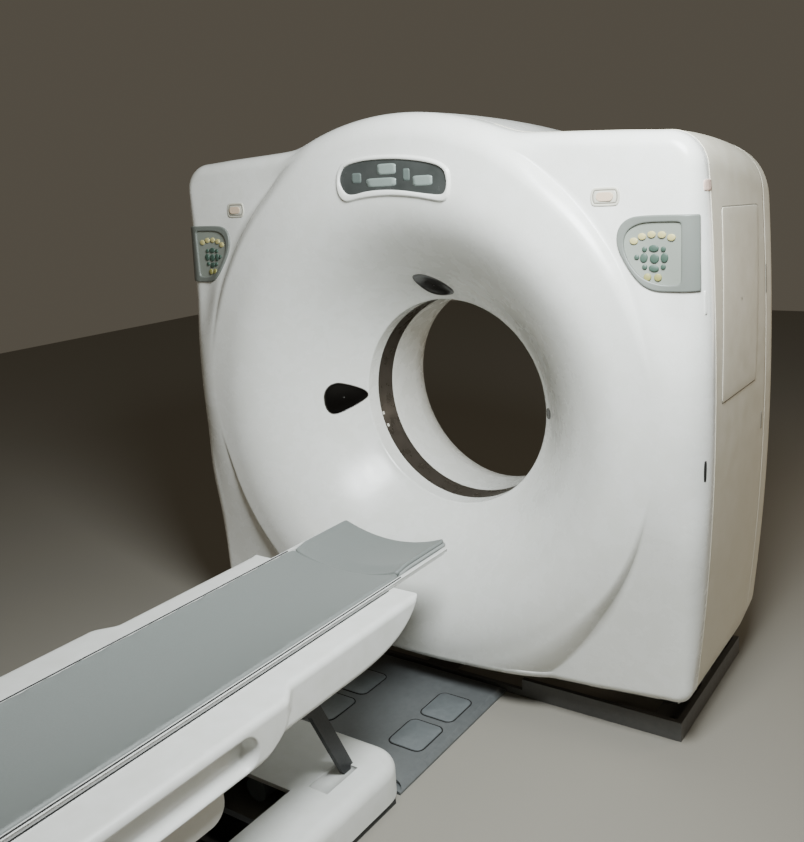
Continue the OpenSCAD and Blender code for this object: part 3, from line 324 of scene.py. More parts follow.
def half_outline(v=0.0):
    x = np.linspace(0, 0.842, 60)
    foot_x = [0, 0.1, 0.2, 0.3, 0.5, 0.63, 0.75, 0.84]
    foot_z = [-0.790, -0.788, -0.782, -0.777, -0.770, -0.761, -0.751, -0.745]
    bottom = np.stack([x, np.interp(x, foot_x, foot_z)], 1)
    corner = arc_points(0.852, -0.700, 0.045, -92, -3, 16)
    r, drop = 0.100 + 0.070 * v, 0.035 * v * v
    zc = 0.826 - drop - r
    z = np.linspace(-0.69, zc, 120)
    side = np.stack([half_width(z), z], 1)
    shoulder = arc_points(float(half_width(zc)) - r, zc, r, 0, 86, 30)
    slope = np.linspace(shoulder[-1][0] - 0.02, 0.0, 400)
    roof = np.interp(slope, [0.30, 0.40, 0.55, 0.70, 0.82], [0.850, 0.847, 0.840, 0.833, 0.825]) - drop
    dome = np.sqrt(np.maximum(0.931**2 - slope**2, 0.01)) - drop
    soft = 0.008
    top = soft * np.logaddexp(roof / soft, dome / soft)
    half = np.concatenate([bottom, corner, side, shoulder, np.stack([slope, top], 1)])
    run = np.concatenate([[0], np.cumsum(np.hypot(*np.diff(half, axis=0).T))])
    at = np.linspace(0, run[-1], 1800)
    even = np.stack([np.interp(at, run, half[:, 0]), np.interp(at, run, half[:, 1])], 1)
    mirror = np.array([-1, 1])
    pad = 24
    long = np.concatenate([even[1 : pad + 1][::-1] * mirror, even, even[-pad - 1 : -1][::-1] * mirror])
    kernel = np.exp(-0.5 * (np.arange(-pad, pad + 1) / 5.0) ** 2)
    kernel /= kernel.sum()
    return np.stack([np.convolve(long[:, i], kernel, mode="valid") for i in (0, 1)], 1)


# %% [markdown]
# The covers are cut into lines that leave the bore's axis like spokes. Evenly spaced spokes would round
# off the shoulders, so they stand closer together there and at the lower corners.

# %% Spokes round the bore
def spread_angles():
    a = np.linspace(-90, 90, 2001)
    dense = 1 + 3 * np.exp(-(((a - 42) / 7) ** 2)) + 2 * np.exp(-(((a + 39) / 5) ** 2))
    run = np.concatenate([[0], np.cumsum((dense[1:] + dense[:-1]) / 2)])
    right = np.interp((np.arange(TURNS // 2) + 0.5) / (TURNS // 2), run / run[-1], a)
    return np.radians(np.concatenate([right, 180 - right[::-1]]))


ANG = spread_angles()
COS, SIN = np.cos(ANG), np.sin(ANG)
ALPHA = np.degrees(np.arcsin(np.abs(SIN)))


def rim_at(v=0.0):
    half = half_outline(v)
    angle = np.arctan2(half[:, 1], half[:, 0])
    radius = np.interp(np.arcsin(SIN), angle, np.hypot(half[:, 0], half[:, 1]))
    return np.stack([radius * COS, radius * SIN], 1)


def inward_of(rim):
    along = np.roll(rim, -1, 0) - np.roll(rim, 1, 0)
    along /= np.linalg.norm(along, axis=1)[:, None]
    return np.stack([-along[:, 1], along[:, 0]], 1)


RIM = rim_at()
INWARD = inward_of(RIM)
print(
    "outline:", TURNS, "points, top", round(float(RIM[:, 1].max()), 3), "half width",
    round(float(RIM[:, 0].max()), 3)
)

# %% [markdown]
# ## The funnel's shape
# The funnel is the piece that everyone knows: a smooth cone that turns into a drum, with crescent bands
# that sink to the flat face. A revolve would be round all the way, and the bands are not, so each spoke
# gets its own profile. Each table gives a size in millimetres for angles from the horizontal, first for
# the upper half and then for the lower one.

# %% Funnel profile
UPPER = SIN > 0


def by_angle(upper, lower, soft=4):
    up = np.interp(ALPHA, *zip(*upper))
    low = np.interp(ALPHA, *zip(*lower))
    return wrap_smooth(np.where(UPPER, up, low), soft) / 1000


RIDGE = by_angle(
    [
        (0, 815), (12, 814), (20, 812), (28, 818), (36, 822), (44, 828), (52, 834), (58, 840), (70, 850),
        (90, 856)
    ],
    [(0, 808), (14, 795), (24, 795), (32, 792), (40, 786), (48, 780), (56, 783), (64, 788), (90, 790)],
)
FOOT = by_angle(
    [(0, 829), (12, 829), (20, 834), (28, 850), (36, 862), (44, 872), (52, 883), (60, 888), (90, 890)],
    [
        (0, 820), (14, 808), (18, 809), (24, 813), (30, 816), (38, 824), (48, 848), (56, 874), (64, 890),
        (90, 892)
    ],
)
FOOT_D = by_angle(
    [(0, 387), (20, 386), (28, 376), (36, 363), (44, 359), (52, 352), (60, 350), (90, 349)],
    [
        (0, 388), (14, 385), (18, 381), (24, 374), (30, 367), (38, 360), (48, 354), (56, 350), (62, 349),
        (90, 349)
    ],
)
SIDE_ROUND = wrap_smooth(1 - smoothstep(ALPHA, np.where(UPPER, 10, 6), np.where(UPPER, 24, 19)), 3)
TOP_ROUND = wrap_smooth(np.where(UPPER, smoothstep(ALPHA, 56, 68), 0), 4)
EDGE_HEIGHTS = [-0.76, -0.70, -0.60, -0.45, 0.60, 0.78]
EDGE_RADII = [0.026, 0.030, 0.042, 0.062, 0.062, 0.042]
EDGE_R = wrap_smooth(np.interp(RIM[:, 1], EDGE_HEIGHTS, EDGE_RADII), 3)
print("ridge", RIDGE.min().round(3), "to", RIDGE.max().round(3), "m from the axis")

# %% [markdown]
# Two rules turn the tables into depths: one cubic curve from the throat to the drum, and a band that
# starts flat at the ridge and steepens toward its foot. Below, the foot runs out slowly over the face.

# %% Profile rules
def funnel_curve(count):
    return curve_points([(BORE, 0.100), (BORE + 0.070, 0.150), (0.545, 0.403), (DRUM_R, DRUM_D)], count)


def band_depth(r, k):
    r = np.asarray(r, float)
    t = np.clip((r - RIDGE[k]) / (FOOT[k] - RIDGE[k]), 0, 1)
    slope = 0.2 * t + 0.8 * t**2
    over = np.maximum(r - FOOT[k], 0)
    near, far = np.exp(-((over / 0.060) ** 2)), 1 - smoothstep(over, 0, 0.26)
    foot = FACE + (FOOT_D[k] - FACE) * (near if UPPER[k] else far)
    flat = DRUM_D - (DRUM_D - RIDGE_D) * np.clip((r - DRUM_R) / (RIDGE[k] - DRUM_R), 0, 1)
    return np.where(r < RIDGE[k], flat, np.where(r < FOOT[k], RIDGE_D - (RIDGE_D - FOOT_D[k]) * slope, foot))


# %% [markdown]
# ## The front cover
# It is one large moulding, open behind, and below where the columns stand. A boolean of simple solids
# would leave hard creases, so each spoke gets one line of points from the bore to the seam: throat,
# funnel, drum, band, flat face, rounded edge and side wall. Near the sides and over the dome one large
# rounding replaces the band.

# %% Lines of the front cover
FUNNEL_ROWS, DRUM_ROWS, BAND_ROWS, FACE_ROWS, EDGE_ROWS = 40, 8, 16, 12, 14
SIDE_DROP, TOP_DROP = 0.090, 0.072


def cover_line(k):
    c, s = COS[k], SIN[k]
    throat = [(BORE * c, -d, BORE * s) for d in (0.0436, 0.07, 0.0999)]
    funnel = [(r * c, -d, r * s) for r, d in funnel_curve(FUNNEL_ROWS)]
    inner = RIM[k] + INWARD[k] * EDGE_R[k]
    r_end = math.hypot(*inner)
    r_ridge = min(RIDGE[k], r_end - 0.012)
    r_foot = min(FOOT[k], r_end - 0.005)
    drum_r = np.linspace(DRUM_R, r_ridge, DRUM_ROWS + 1)[1:]
    drum = [(r * c, -d, r * s) for r, d in zip(drum_r, band_depth(drum_r, k))]
    band_r = np.linspace(r_ridge, r_foot, BAND_ROWS + 1)[1:]
    rest = [(r * c, -d, r * s) for r, d in zip(band_r, band_depth(band_r, k))]
    start = np.array([r_foot * c, r_foot * s])
    for t in np.linspace(0, 1, FACE_ROWS + 1)[1:]:
        p = start * (1 - t) + inner * t
        rest.append((p[0], -float(band_depth(math.hypot(*p), k)), p[1]))
    end_d = -rest[-1][1]
    for a in np.linspace(0, math.pi / 2, EDGE_ROWS + 1)[1:]:
        p = inner - INWARD[k] * EDGE_R[k] * math.sin(a)
        rest.append((p[0], -(end_d - EDGE_R[k] * (1 - math.cos(a))), p[1]))
    rest = np.array(rest)
    if SIDE_ROUND[k] > 0.001:
        u = (np.hypot(rest[:, 0], rest[:, 2]) - r_ridge) / (math.hypot(*RIM[k]) - r_ridge)
        deep = -(RIDGE_D - SIDE_DROP * (1 - np.sqrt(1 - np.clip(u, 0, 1) ** 2)))
        rest[:, 1] = rest[:, 1] * (1 - SIDE_ROUND[k]) + deep * SIDE_ROUND[k]
    if TOP_ROUND[k] > 0.001:
        a = np.linspace(0, math.pi / 2, len(rest) + 1)[1:, None]
        begin = np.array([r_ridge * c, r_ridge * s])
        flat = begin + (RIM[k] - begin) * np.sin(a)
        deep = -(RIDGE_D - TOP_DROP * (1 - np.cos(a)))
        large = np.concatenate([flat[:, :1], deep, flat[:, 1:]], 1)
        rest = rest * (1 - TOP_ROUND[k]) + large * TOP_ROUND[k]
    x, y, z = rest[-1]
    wall = [(x, w, z) for w in np.linspace(y, -SEAM_FRONT - 0.0004, 5)[1:]]
    p = np.array([x, z]) + INWARD[k] * LIP
    lip = [(p[0], -SEAM_FRONT - 0.0004, p[1]), (p[0], -SEAM_FRONT + 0.004, p[1])]
    outer = [tuple(q) for q in rest] + wall + lip
    if abs(RIM[k][0]) < OPEN_X and RIM[k][1] < -0.70:
        outer = [(px, min(py, -OPEN_FRONT), pz) for px, py, pz in outer]
    return throat + funnel + drum + outer


# %% [markdown]
# The lines become one mesh. Over the opening for the columns several rows fall on one point, and merging
# them takes away the faces that have no area.

# %% Front cover
def merge_doubles(obj):
    mesh = bmesh.new()
    mesh.from_mesh(obj.data)
    bmesh.ops.remove_doubles(mesh, verts=mesh.verts, dist=0.00002)
    bmesh.ops.dissolve_degenerate(mesh, edges=mesh.edges, dist=0.00002)
    mesh.to_mesh(obj.data)
    mesh.free()


grid = np.array([cover_line(k) for k in range(TURNS)])
grid[:, :, 2] += ISO
front_shell = grid_mesh("front_shell", grid.transpose(1, 0, 2)[::-1], close_cols=True)
merge_doubles(front_shell)
paint(front_shell, "cover")
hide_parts("front_cover")
ride(front_shell, "gantry")
print("front shell:", len(front_shell.data.polygons), "quads")

# %% [markdown]
# ## Side, top and rear covers
# They follow the same outline, which is cut at the shoulder into a side part and a top part. One loft
# with cuts in it could do, but separate pieces show their seams as the real ones do. The lower edge
# rises toward the rear. `depth_share` turns a place along the bore into the outline's `v`.

# %% Cutting the outline
SPLIT_X, SPLIT_Z = 0.8315, 0.555


def depth_share(y):
    return (y + SEAM_FRONT) / (REAR + SEAM_FRONT)


def resample(points, count):
    run = np.concatenate([[0], np.cumsum(np.hypot(*np.diff(points, axis=0).T))])
    at = np.linspace(0, run[-1], count)
    return np.stack([np.interp(at, run, points[:, 0]), np.interp(at, run, points[:, 1])], 1)


def low_edge(y):
    return np.interp(y, [-0.27, 0.134, 0.183, 0.274, REAR], [-0.727, -0.721, -0.703, -0.677, OPEN_REAR_Z])


def split_rim(y):
    half = half_outline(depth_share(y))
    top = (half[:, 1] > 0.5) & (half[:, 0] < SPLIT_X)
    side = half[(half[:, 0] > 0.86) & (half[:, 1] > low_edge(y)) & ~top]
    side = np.concatenate([side, half[top][:1]])
    lower, upper = side[side[:, 1] < SPLIT_Z], side[side[:, 1] >= SPLIT_Z]
    return resample(lower, 40), resample(upper, 40), resample(half[top], 120)


print("outline cut at", SPLIT_X, SPLIT_Z)

# %% [markdown]
# Each side cover is a row of such cuts from seam to seam, with its foot and both ends turned inward.

# %% Side covers
def side_shell(name, side, node):
    rows = []
    for y in np.concatenate([[-SEAM_FRONT + 0.0004], np.linspace(-0.276, 0.202, 30), [SEAM_REAR - 0.0006]]):
        lower, upper, _ = split_rim(y)
        foot = np.linspace([lower[0][0] - 0.03, lower[0][1] - 0.003], lower[0], 4)[:-1]
        rows.append([(side * x, y, z + ISO) for x, z in np.concatenate([foot, lower, upper])])
    ends = [[(x - side * LIP, y, z) for x, y, z in row] for row in (rows[0], rows[-1])]
    rows = [ends[0]] + rows + [ends[1]]
    obj = grid_mesh(name, rows if side < 0 else rows[::-1])
    paint(obj, "side")
    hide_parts(node)
    return ride(obj, "gantry")


right_side = side_shell("right_side_shell", 1, "right_side_cover")
left_side = side_shell("left_side_shell", -1, "left_side_cover")
print("side covers:", right_side.name, left_side.name)

# %% [markdown]
# The top cover is the rest of the outline, mirrored to both sides. Its ends turn down at the seams.

# %% Top cover
def top_shell():
    rows = []
    for y in np.concatenate([[-SEAM_FRONT + 0.0004], np.linspace(-0.278, 0.202, 28), [SEAM_REAR - 0.0006]]):
        _, _, top = split_rim(y)
        whole = np.concatenate([top * [-1, 1], top[::-1][1:]])
        rows.append([(x, y, z + ISO) for x, z in whole])
    first, last = [[(x, y, z - LIP) for x, y, z in row] for row in (rows[0], rows[-1])]
    obj = grid_mesh("top_shell", ([first] + rows + [last])[::-1])
    paint(obj, "cover")
    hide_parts("top_cover")
    return ride(obj, "gantry")


top_cover = top_shell()
print("top cover:", len(top_cover.data.polygons), "quads")

# %% [markdown]
# ## The rear cover
# It closes the back: a wall, a large rounding and a flat ring that ends at the bore's flare. An extruded
# outline with a bevel could do, but the bevel breaks where the outline changes along the depth. Rings of
# spokes are stacked instead. Like the front cover, it is open below for the columns.

# %% Rear cover
REAR_ROUND, FLARE_R, WALL_INSIDE = 0.050, 0.4306, 0.3185


def floor_z(points, y):
    middle = np.abs(points[:, 0]) < OPEN_X
    points[:, 1] = np.maximum(points[:, 1], np.where(middle, OPEN_REAR_Z, low_edge(y)))
    return points


def rear_shell():
    rows = []
    for y in np.linspace(SEAM_REAR + 0.0006, REAR - REAR_ROUND, 8):
        rows.append((y, floor_z(rim_at(depth_share(y)), y)))
    last = rim_at(1.0)
    inward = inward_of(last)
    for a in np.linspace(0, math.pi / 2, 10)[1:]:
        y = REAR - REAR_ROUND + REAR_ROUND * math.sin(a)
        rows.append((y, floor_z(last + inward * REAR_ROUND * (1 - math.cos(a)), y)))
    edge = rows[-1][1]
    hole = np.stack([FLARE_R * COS, FLARE_R * SIN], 1)
    for t in (0.15, 0.5, 0.85, 1.0):
        rows.append((REAR, edge * (1 - t) + hole * t))
    rows.append((REAR - LIP, hole))
    front = rows[0][1] + inward_of(rows[0][1]) * LIP
    rows.insert(0, (SEAM_REAR + 0.0006, front))
    points = np.array([[(x, y, z + ISO) for x, z in rim] for y, rim in rows])
    open_below = (np.abs(points[:, :, 0]) < OPEN_X) & (points[:, :, 2] - ISO < OPEN_REAR_Z + 0.008)
    points[:, :, 1] = np.where(open_below, np.maximum(points[:, :, 1], WALL_INSIDE), points[:, :, 1])
    obj = grid_mesh("rear_shell", points[::-1], close_cols=True)
    merge_doubles(obj)
    paint(obj, "side")
    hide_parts("rear_cover")
    return ride(obj, "gantry")


rear_cover = rear_shell()
print("rear cover:", len(rear_cover.data.polygons), "faces")

# %% [markdown]
# ## Details that sit on the covers
# Panels, windows and slots are let into curved covers. A Shrinkwrap modifier could lay them on, but a ray
# for each point also gives the surface's normal, which lifts or sinks the point. `s` runs across the
# front and then round the corner onto the side, and `z` is the height over the axis.

# %% Rays onto the covers
def shell_tree(*objects):
    verts, faces = [], []
    for obj in objects:
        base = len(verts)
        verts += [v.co.copy() for v in obj.data.vertices]
        faces += [[base + i for i in p.vertices] for p in obj.data.polygons]
    return BVHTree.FromPolygons(verts, faces)


SHELL = shell_tree(front_shell, right_side, top_cover, rear_cover)
BEND_X, BEND_Y, BEND_R = 0.845, -0.279, 0.070
BEND_END = BEND_X + BEND_R * math.pi / 2


def on_shell(s, z):
    if s <= BEND_X:
        origin, aim = (s, -1.0, z + ISO), (0, 1, 0)
    elif s <= BEND_END:
        a = (s - BEND_X) / BEND_R
        origin, aim = (BEND_X + math.sin(a), BEND_Y - math.cos(a), z + ISO), (-math.sin(a), math.cos(a), 0)
    else:
        origin, aim = (2.0, BEND_Y + s - BEND_END, z + ISO), (-1, 0, 0)
    place, normal, _, _ = SHELL.ray_cast(Vector(origin), Vector(aim))
    if normal.dot(Vector(aim)) > 0:
        normal = -normal
    return place, normal


def on_roof(x, y):
    place, normal, _, _ = SHELL.ray_cast(Vector((x, y, 3.0)), Vector((0, 0, -1)))
    return place, normal if normal.z > 0 else -normal


print("covers ready for rays")

# %% [markdown]
# ## Outlines and reliefs
# A detail is one outline in millimetres. `rounded` cuts its corners again and again until they are round,
# `inset` moves it inward, and `relief` joins such loops at different heights to one closed patch.
# A knife cut and a bevel would need the cover's own mesh to be dense there.

# %% Reliefs
def rounded(points_mm, passes=3, count=120):
    p = np.array(points_mm, float) / 1000
    area = np.sum(p[:, 0] * np.roll(p[:, 1], -1) - np.roll(p[:, 0], -1) * p[:, 1])
    p = p if area > 0 else p[::-1]
    for _ in range(passes):
        nxt = np.roll(p, -1, 0)
        p = np.stack([0.75 * p + 0.25 * nxt, 0.25 * p + 0.75 * nxt], 1).reshape(-1, 2)
    centre = p.mean(0)
    p = np.roll(p, -int(np.argmax((p - centre) @ np.array([1.0, 0.2]))), 0)
    loop = np.concatenate([p, p[:1]])
    run = np.concatenate([[0], np.cumsum(np.hypot(*np.diff(loop, axis=0).T))])
    at = np.linspace(0, run[-1], count, endpoint=False)
    return np.stack([np.interp(at, run, loop[:, 0]), np.interp(at, run, loop[:, 1])], 1)


def inset(loop, distance):
    along = np.roll(loop, -1, 0) - np.roll(loop, 1, 0)
    along /= np.linalg.norm(along, axis=1)[:, None]
    return loop + np.stack([-along[:, 1], along[:, 0]], 1) * distance


def steps(loop, profile_mm):
    return [(inset(loop, offset / 1000), height / 1000) for offset, height in profile_mm]


def relief(name, rings, key, side=1, fill=5, place=on_shell):
    rings = list(rings)
    if fill:
        loop, height = rings[-1]
        middle = loop.mean(0)
        rings += [(middle + (loop - middle) * t, height) for t in np.linspace(1, 0.02, fill + 1)[1:]]
    rows = []
    for loop, height in rings:
        row = []
        for s, z in loop:
            spot, normal = place(s, z)
            p = spot + normal * height
            row.append((side * p.x, p.y, p.z))
        rows.append(row)
    obj = grid_mesh(name, rows if side > 0 else rows[::-1], close_cols=True)
    paint(obj, key)
    return ride(obj, "gantry")


print("relief helpers ready")

# %% [markdown]
# ## Geometry Nodes
# Beads, keys, vents and foot pads repeat or follow a path, which is what Geometry Nodes are good at.
# Each tree gets named inputs. They are set by the socket's identifier before the object is evaluated.
# The result is then kept as a plain mesh, because the export drops instances.

# %% Geometry Nodes helpers
def new_tree(name, sockets):
    tree = bpy.data.node_groups.new(name, "GeometryNodeTree")
    tree.interface.new_socket("Geometry", in_out="INPUT", socket_type="NodeSocketGeometry")
    for label, kind in sockets:
        tree.interface.new_socket(label, in_out="INPUT", socket_type=kind)
    tree.interface.new_socket("Geometry", in_out="OUTPUT", socket_type="NodeSocketGeometry")
    return tree, add_node(tree, "NodeGroupInput", -800, 0), add_node(tree, "NodeGroupOutput", 600, 0)


def finish_tree(tree, source, given, out):
    real = add_node(tree, "GeometryNodeRealizeInstances", 250, 0)
    coat = add_node(tree, "GeometryNodeSetMaterial", 430, 0)
    tree.links.new(source, real.inputs["Geometry"])
    tree.links.new(real.outputs["Geometry"], coat.inputs["Geometry"])
    tree.links.new(given.outputs["Material"], coat.inputs["Material"])
    tree.links.new(coat.outputs["Geometry"], out.inputs["Geometry"])


def bake(obj, tree, values):
    mod = obj.modifiers.new(tree.name, "NODES")
    mod.node_group = tree
    for item in tree.interface.items_tree:
        if item.in_out == "INPUT" and item.name in values:
            mod[item.identifier] = values[item.name]
    graph = bpy.context.evaluated_depsgraph_get()
    mesh = bpy.data.meshes.new_from_object(obj.evaluated_get(graph))
    obj.modifiers.clear()
    obj.data = mesh
    mesh.polygons.foreach_set("use_smooth", [True] * len(mesh.polygons))
    return obj


print("Geometry Nodes helpers ready")

# %% [markdown]
# The bead tree turns edges into a curve and sweeps a circle along it. A curve object with a bevel depth
# could do the same, but its radius would not be an input that the lesson can set for each bead.

# %% Bead tree
bead_tree, given, out = new_tree("bead", [("Radius", "NodeSocketFloat"), ("Material", "NodeSocketMaterial")])
line = add_node(bead_tree, "GeometryNodeMeshToCurve", -550, 0)
ring = add_node(bead_tree, "GeometryNodeCurvePrimitiveCircle", -550, -200, Resolution=10)
sweep = add_node(bead_tree, "GeometryNodeCurveToMesh", -250, 0)
bead_tree.links.new(given.outputs["Geometry"], line.inputs["Mesh"])
bead_tree.links.new(given.outputs["Radius"], ring.inputs["Radius"])
bead_tree.links.new(line.outputs["Curve"], sweep.inputs["Curve"])
bead_tree.links.new(ring.outputs["Curve"], sweep.inputs["Profile Curve"])
sweep.inputs["Fill Caps"].default_value = True
finish_tree(bead_tree, sweep.outputs["Mesh"], given, out)

print("tree:", bead_tree.name)

# %% [markdown]
# The stud tree sets copies of a small object on points. Each point carries two attributes: where the copy
# faces, and its size. Copies by hand would have to be turned one by one on the curved cover.

# %% Stud tree
stud_tree, given, out = new_tree("studs", [("Stud", "NodeSocketObject"), ("Material", "NodeSocketMaterial")])
info = add_node(stud_tree, "GeometryNodeObjectInfo", -550, -200)
facing = add_node(stud_tree, "GeometryNodeInputNamedAttribute", -750, -400, Name="facing")
facing.data_type = "FLOAT_VECTOR"
size = add_node(stud_tree, "GeometryNodeInputNamedAttribute", -550, -600, Name="size")
size.data_type = "FLOAT_VECTOR"
turn = add_node(stud_tree, "FunctionNodeAlignRotationToVector", -350, -300)
turn.axis = "Z"
copies = add_node(stud_tree, "GeometryNodeInstanceOnPoints", -100, 0)
stud_tree.links.new(given.outputs["Stud"], info.inputs["Object"])
stud_tree.links.new(facing.outputs["Attribute"], turn.inputs["Vector"])
stud_tree.links.new(given.outputs["Geometry"], copies.inputs["Points"])
stud_tree.links.new(info.outputs["Geometry"], copies.inputs["Instance"])
stud_tree.links.new(turn.outputs["Rotation"], copies.inputs["Rotation"])
stud_tree.links.new(size.outputs["Attribute"], copies.inputs["Scale"])
finish_tree(stud_tree, copies.outputs["Instances"], given, out)


print("tree:", stud_tree.name)

# %% [markdown]
# Three functions use the trees: `bead` draws a line, `stud_shape` models one small raised shape that is
# hidden afterwards, and `studs` sets copies of it on the given places.

# %% Beads and studs
def bead(name, points, radius, key, body, closed=False):
    obj = new_object(name, points, [])
    count = len(points)
    obj.data.edges.add(count if closed else count - 1)
    pairs = [(i, (i + 1) % count) for i in range(count if closed else count - 1)]
    obj.data.edges.foreach_set("vertices", [i for pair in pairs for i in pair])
    obj.data.update()
    bake(obj, bead_tree, {"Radius": radius, "Material": M[key]})
    return ride(obj, body)


def stud_shape(name, loop, height, edge):
    middle = loop.mean(0)
    rows = [[(x, y, -0.001) for x, y in loop], [(x, y, height - edge) for x, y in loop]]
    rows.append([(x, y, height - edge * 0.3) for x, y in inset(loop, edge * 0.3)])
    rows.append([(x, y, height) for x, y in inset(loop, edge)])
    rows.append([(*(middle + (p - middle) * 0.02), height) for p in inset(loop, edge)])
    obj = grid_mesh(name, rows, close_cols=True)
    obj.hide_render = obj.hide_viewport = True
    return obj


def studs(name, places, shape, key, body="gantry"):
    obj = new_object(name, [p for p, _, _ in places], [])
    for label, column in (("facing", 1), ("size", 2)):
        data = obj.data.attributes.new(label, "FLOAT_VECTOR", "POINT")
        data.data.foreach_set("vector", [float(c) for p in places for c in p[column]])
    bake(obj, stud_tree, {"Stud": shape, "Material": M[key]})
    return ride(obj, body)


print("beads and studs ready")

# %% [markdown]
# ## Control panels
# A grey moulding wraps round each upper corner, with the keypad sunk into it. A flat panel with a bent
# flap could be modelled by itself, but it would gape on the curved corner. The frame's outline is laid
# on the cover, stepped up, and led across and down to the keypad. The keys are studs.

# %% Control panels
FRAME_LOOP = rounded([
    (773, 618), (733, 614), (707, 595), (698, 566), (704, 531), (731, 485), (764, 444), (795, 426), (821, 423),
    (870, 423), (900, 424), (908, 425), (908, 434), (908, 520), (908, 607), (908, 616), (900, 617), (850, 618),
], 3, 160)
PAD_LOOP = rounded([
    (718, 556), (728, 581), (755, 596), (786, 600), (830, 600), (861, 600), (867, 596), (868, 579), (868, 520),
    (868, 462), (867, 446), (858, 441), (815, 441), (770, 457), (737, 495), (721, 528),
], 3, 160)
key_round = stud_shape("key_shape", arc_points(0, 0, 0.0095, 0, 345, 24), 0.0042, 0.0018)


def keys(name, spots, key, side):
    places = []
    for s, z, w, h in spots:
        spot, normal = on_shell(s / 1000, z / 1000)
        p = spot + normal * 0.0007
        places.append(
            ((side * p.x, p.y, p.z), (side * normal.x, normal.y, normal.z), (1.15 * w, 1.15 * h, 1))
        )
    return studs(name, places, key_round, key, "gantry")


CREAM = [
    (745, 553, 1.0, 0.8), (766, 564, 1.0, 0.8), (791, 569, 1.0, 0.8), (818, 568, 1.0, 0.8),
    (843, 561, 1.0, 0.8)
]
GREEN = [
    (797, 534, 1.2, 0.8), (772, 510, 0.9, 1.1), (799, 508, 1.1, 1.1), (825, 510, 0.9, 1.1),
    (798, 483, 1.2, 0.8)
]
GREEN += [
    (773, 532, 0.6, 0.6), (822, 532, 0.6, 0.6), (775, 487, 0.6, 0.6), (822, 487, 0.6, 0.6),
    (754, 512, 0.6, 0.6)
]
OLIVE = [(783, 461, 0.9, 0.9), (809, 460, 0.9, 0.9)]
for side, label in ((1, "right"), (-1, "left")):
    outer = steps(FRAME_LOOP, [(0, -3), (0, 3.0), (0.7, 5.0), (2.2, 6.2), (4, 6.5)])
    inner = steps(PAD_LOOP, [(-4, 6.5), (-2, 6.2), (-0.6, 5.2), (0, 3.5), (0.3, 0.4)])
    across = [(outer[-1][0] * (1 - t) + inner[0][0] * t, 0.0065) for t in np.linspace(0, 1, 14)[1:-1]]
    frame_piece = relief(label + "_panel_frame", outer + across + inner, "panel", side, 0)
    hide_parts(label + "_control_panel")
    pad = relief(
        label + "_keypad_face", steps(PAD_LOOP, [(-1, 0.9), (2, 0.9)]), "pad", side, 5
    )
    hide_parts(label + "_keypad")
    keys(label + "_keys_cream", CREAM, "key_cream", side)
    keys(label + "_keys_green", GREEN, "key_green", side)
    keys(label + "_keys_olive", OLIVE, "key_olive", side)
print("control panels made")

# %% [markdown]
# ## The display
# The gantry shows tilt and table position in a dark pane over the bore. Its white frame bows with the
# drum and is thickest below. Two outlines, one for the frame and one for the pane, share the steps of
# one relief, so nothing gapes between them.

# %% Display
SCREEN = rounded([(-150, 789), (-77, 800), (36, 799), (141, 785), (199, 766), (210, 734), (206, 702), (189, 690),
                  (136, 696), (30, 712), (-69, 712), (-129, 700), (-157, 706), (-177, 739), (-170, 768)], 2, 160)
BEZEL = rounded([
    (-188, 740), (-184, 705), (-165, 684), (-147, 681), (-101, 690), (-30, 695), (27, 695), (100, 688),
    (147, 679), (190, 671), (207, 678), (217, 700), (221, 738), (212, 770), (150, 796), (36, 810),
    (-77, 811), (-158, 800), (-181, 774),
], 2, 160)
bezel = relief("display_bezel", steps(BEZEL, [(-3, -0.5), (-1, 1.0), (1.5, 5.0), (4, 7.0), (6, 7.2)])
               + steps(SCREEN, [(-3, 6.6), (-1.2, 5.6), (0, 3.0), (0.3, 0.8)]), "cover", 1, 0)
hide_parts("display_frame_ring")
pane = relief("display_pane", steps(SCREEN, [(-0.8, 1.0), (2, 1.2)]), "screen", 1, 6)
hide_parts("display_screen")
SEGMENTS = [
    (-32, 36, 756, 787), (-74, 35, 722, 747), (93, 161, 719, 748), (-128, -92, 735, 765),
    (60, 84, 735, 770)
]
for i, (x0, x1, z0, z1) in enumerate(SEGMENTS):
    xm, zm = (x0 + x1) / 2, (z0 + z1) / 2
    bar = rounded([(x0, z0), (xm, z0), (x1, z0), (x1, zm), (x1, z1), (xm, z1), (x0, z1), (x0, zm)], 2, 48)
    relief(
        f"display_segment_{i}", steps(bar, [(0, 0.9), (0.2, 1.5)]), "segment" if i < 3 else "segment_dim",
        1, 3
    )
print("display:", len(SEGMENTS), "segments")

# %% [markdown]
# ## The stop plates
# An oval plate on each shoulder carries the emergency stop, which stays the CAD's own button. A boolean
# could sink the groove round it. Stepping one outline inward, up and down is lighter and keeps quads.

# %% Stop plates
OVAL = rounded([(624, 667), (630, 690), (645, 692), (687, 692), (702, 690),
                (708, 667), (702, 645), (687, 643), (645, 643), (630, 645)], 3, 90)
PLATE_STEPS = [(0, -0.5), (0.3, 1.6), (1.2, 2.6), (6, 3.0), (6.8, 1.6), (8.2, 1.6), (9, 3.0)]
for side, label in ((1, "right"), (-1, "left")):
    plate = relief(label + "_stop_plate", steps(OVAL, PLATE_STEPS), "stop_plate", side, 5)
    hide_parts(label + "_stop_housing")
    line = [on_shell(s, z) for s, z in inset(OVAL, 0.0075)]
    line = [p + n * 0.0022 for p, n in line]
    bead(
        label + "_stop_line", [(side * p.x, p.y, p.z) for p in line], 0.0011, "groove", "gantry",
        True
    )
print("stop plates made")

# %% [markdown]
# ## The laser windows
# Smoked windows in the funnel let the positioning lasers out. A flat disc would stand out of the curved
# wall, so each pane is an outline laid on the funnel with rays, with a thin rim round it.

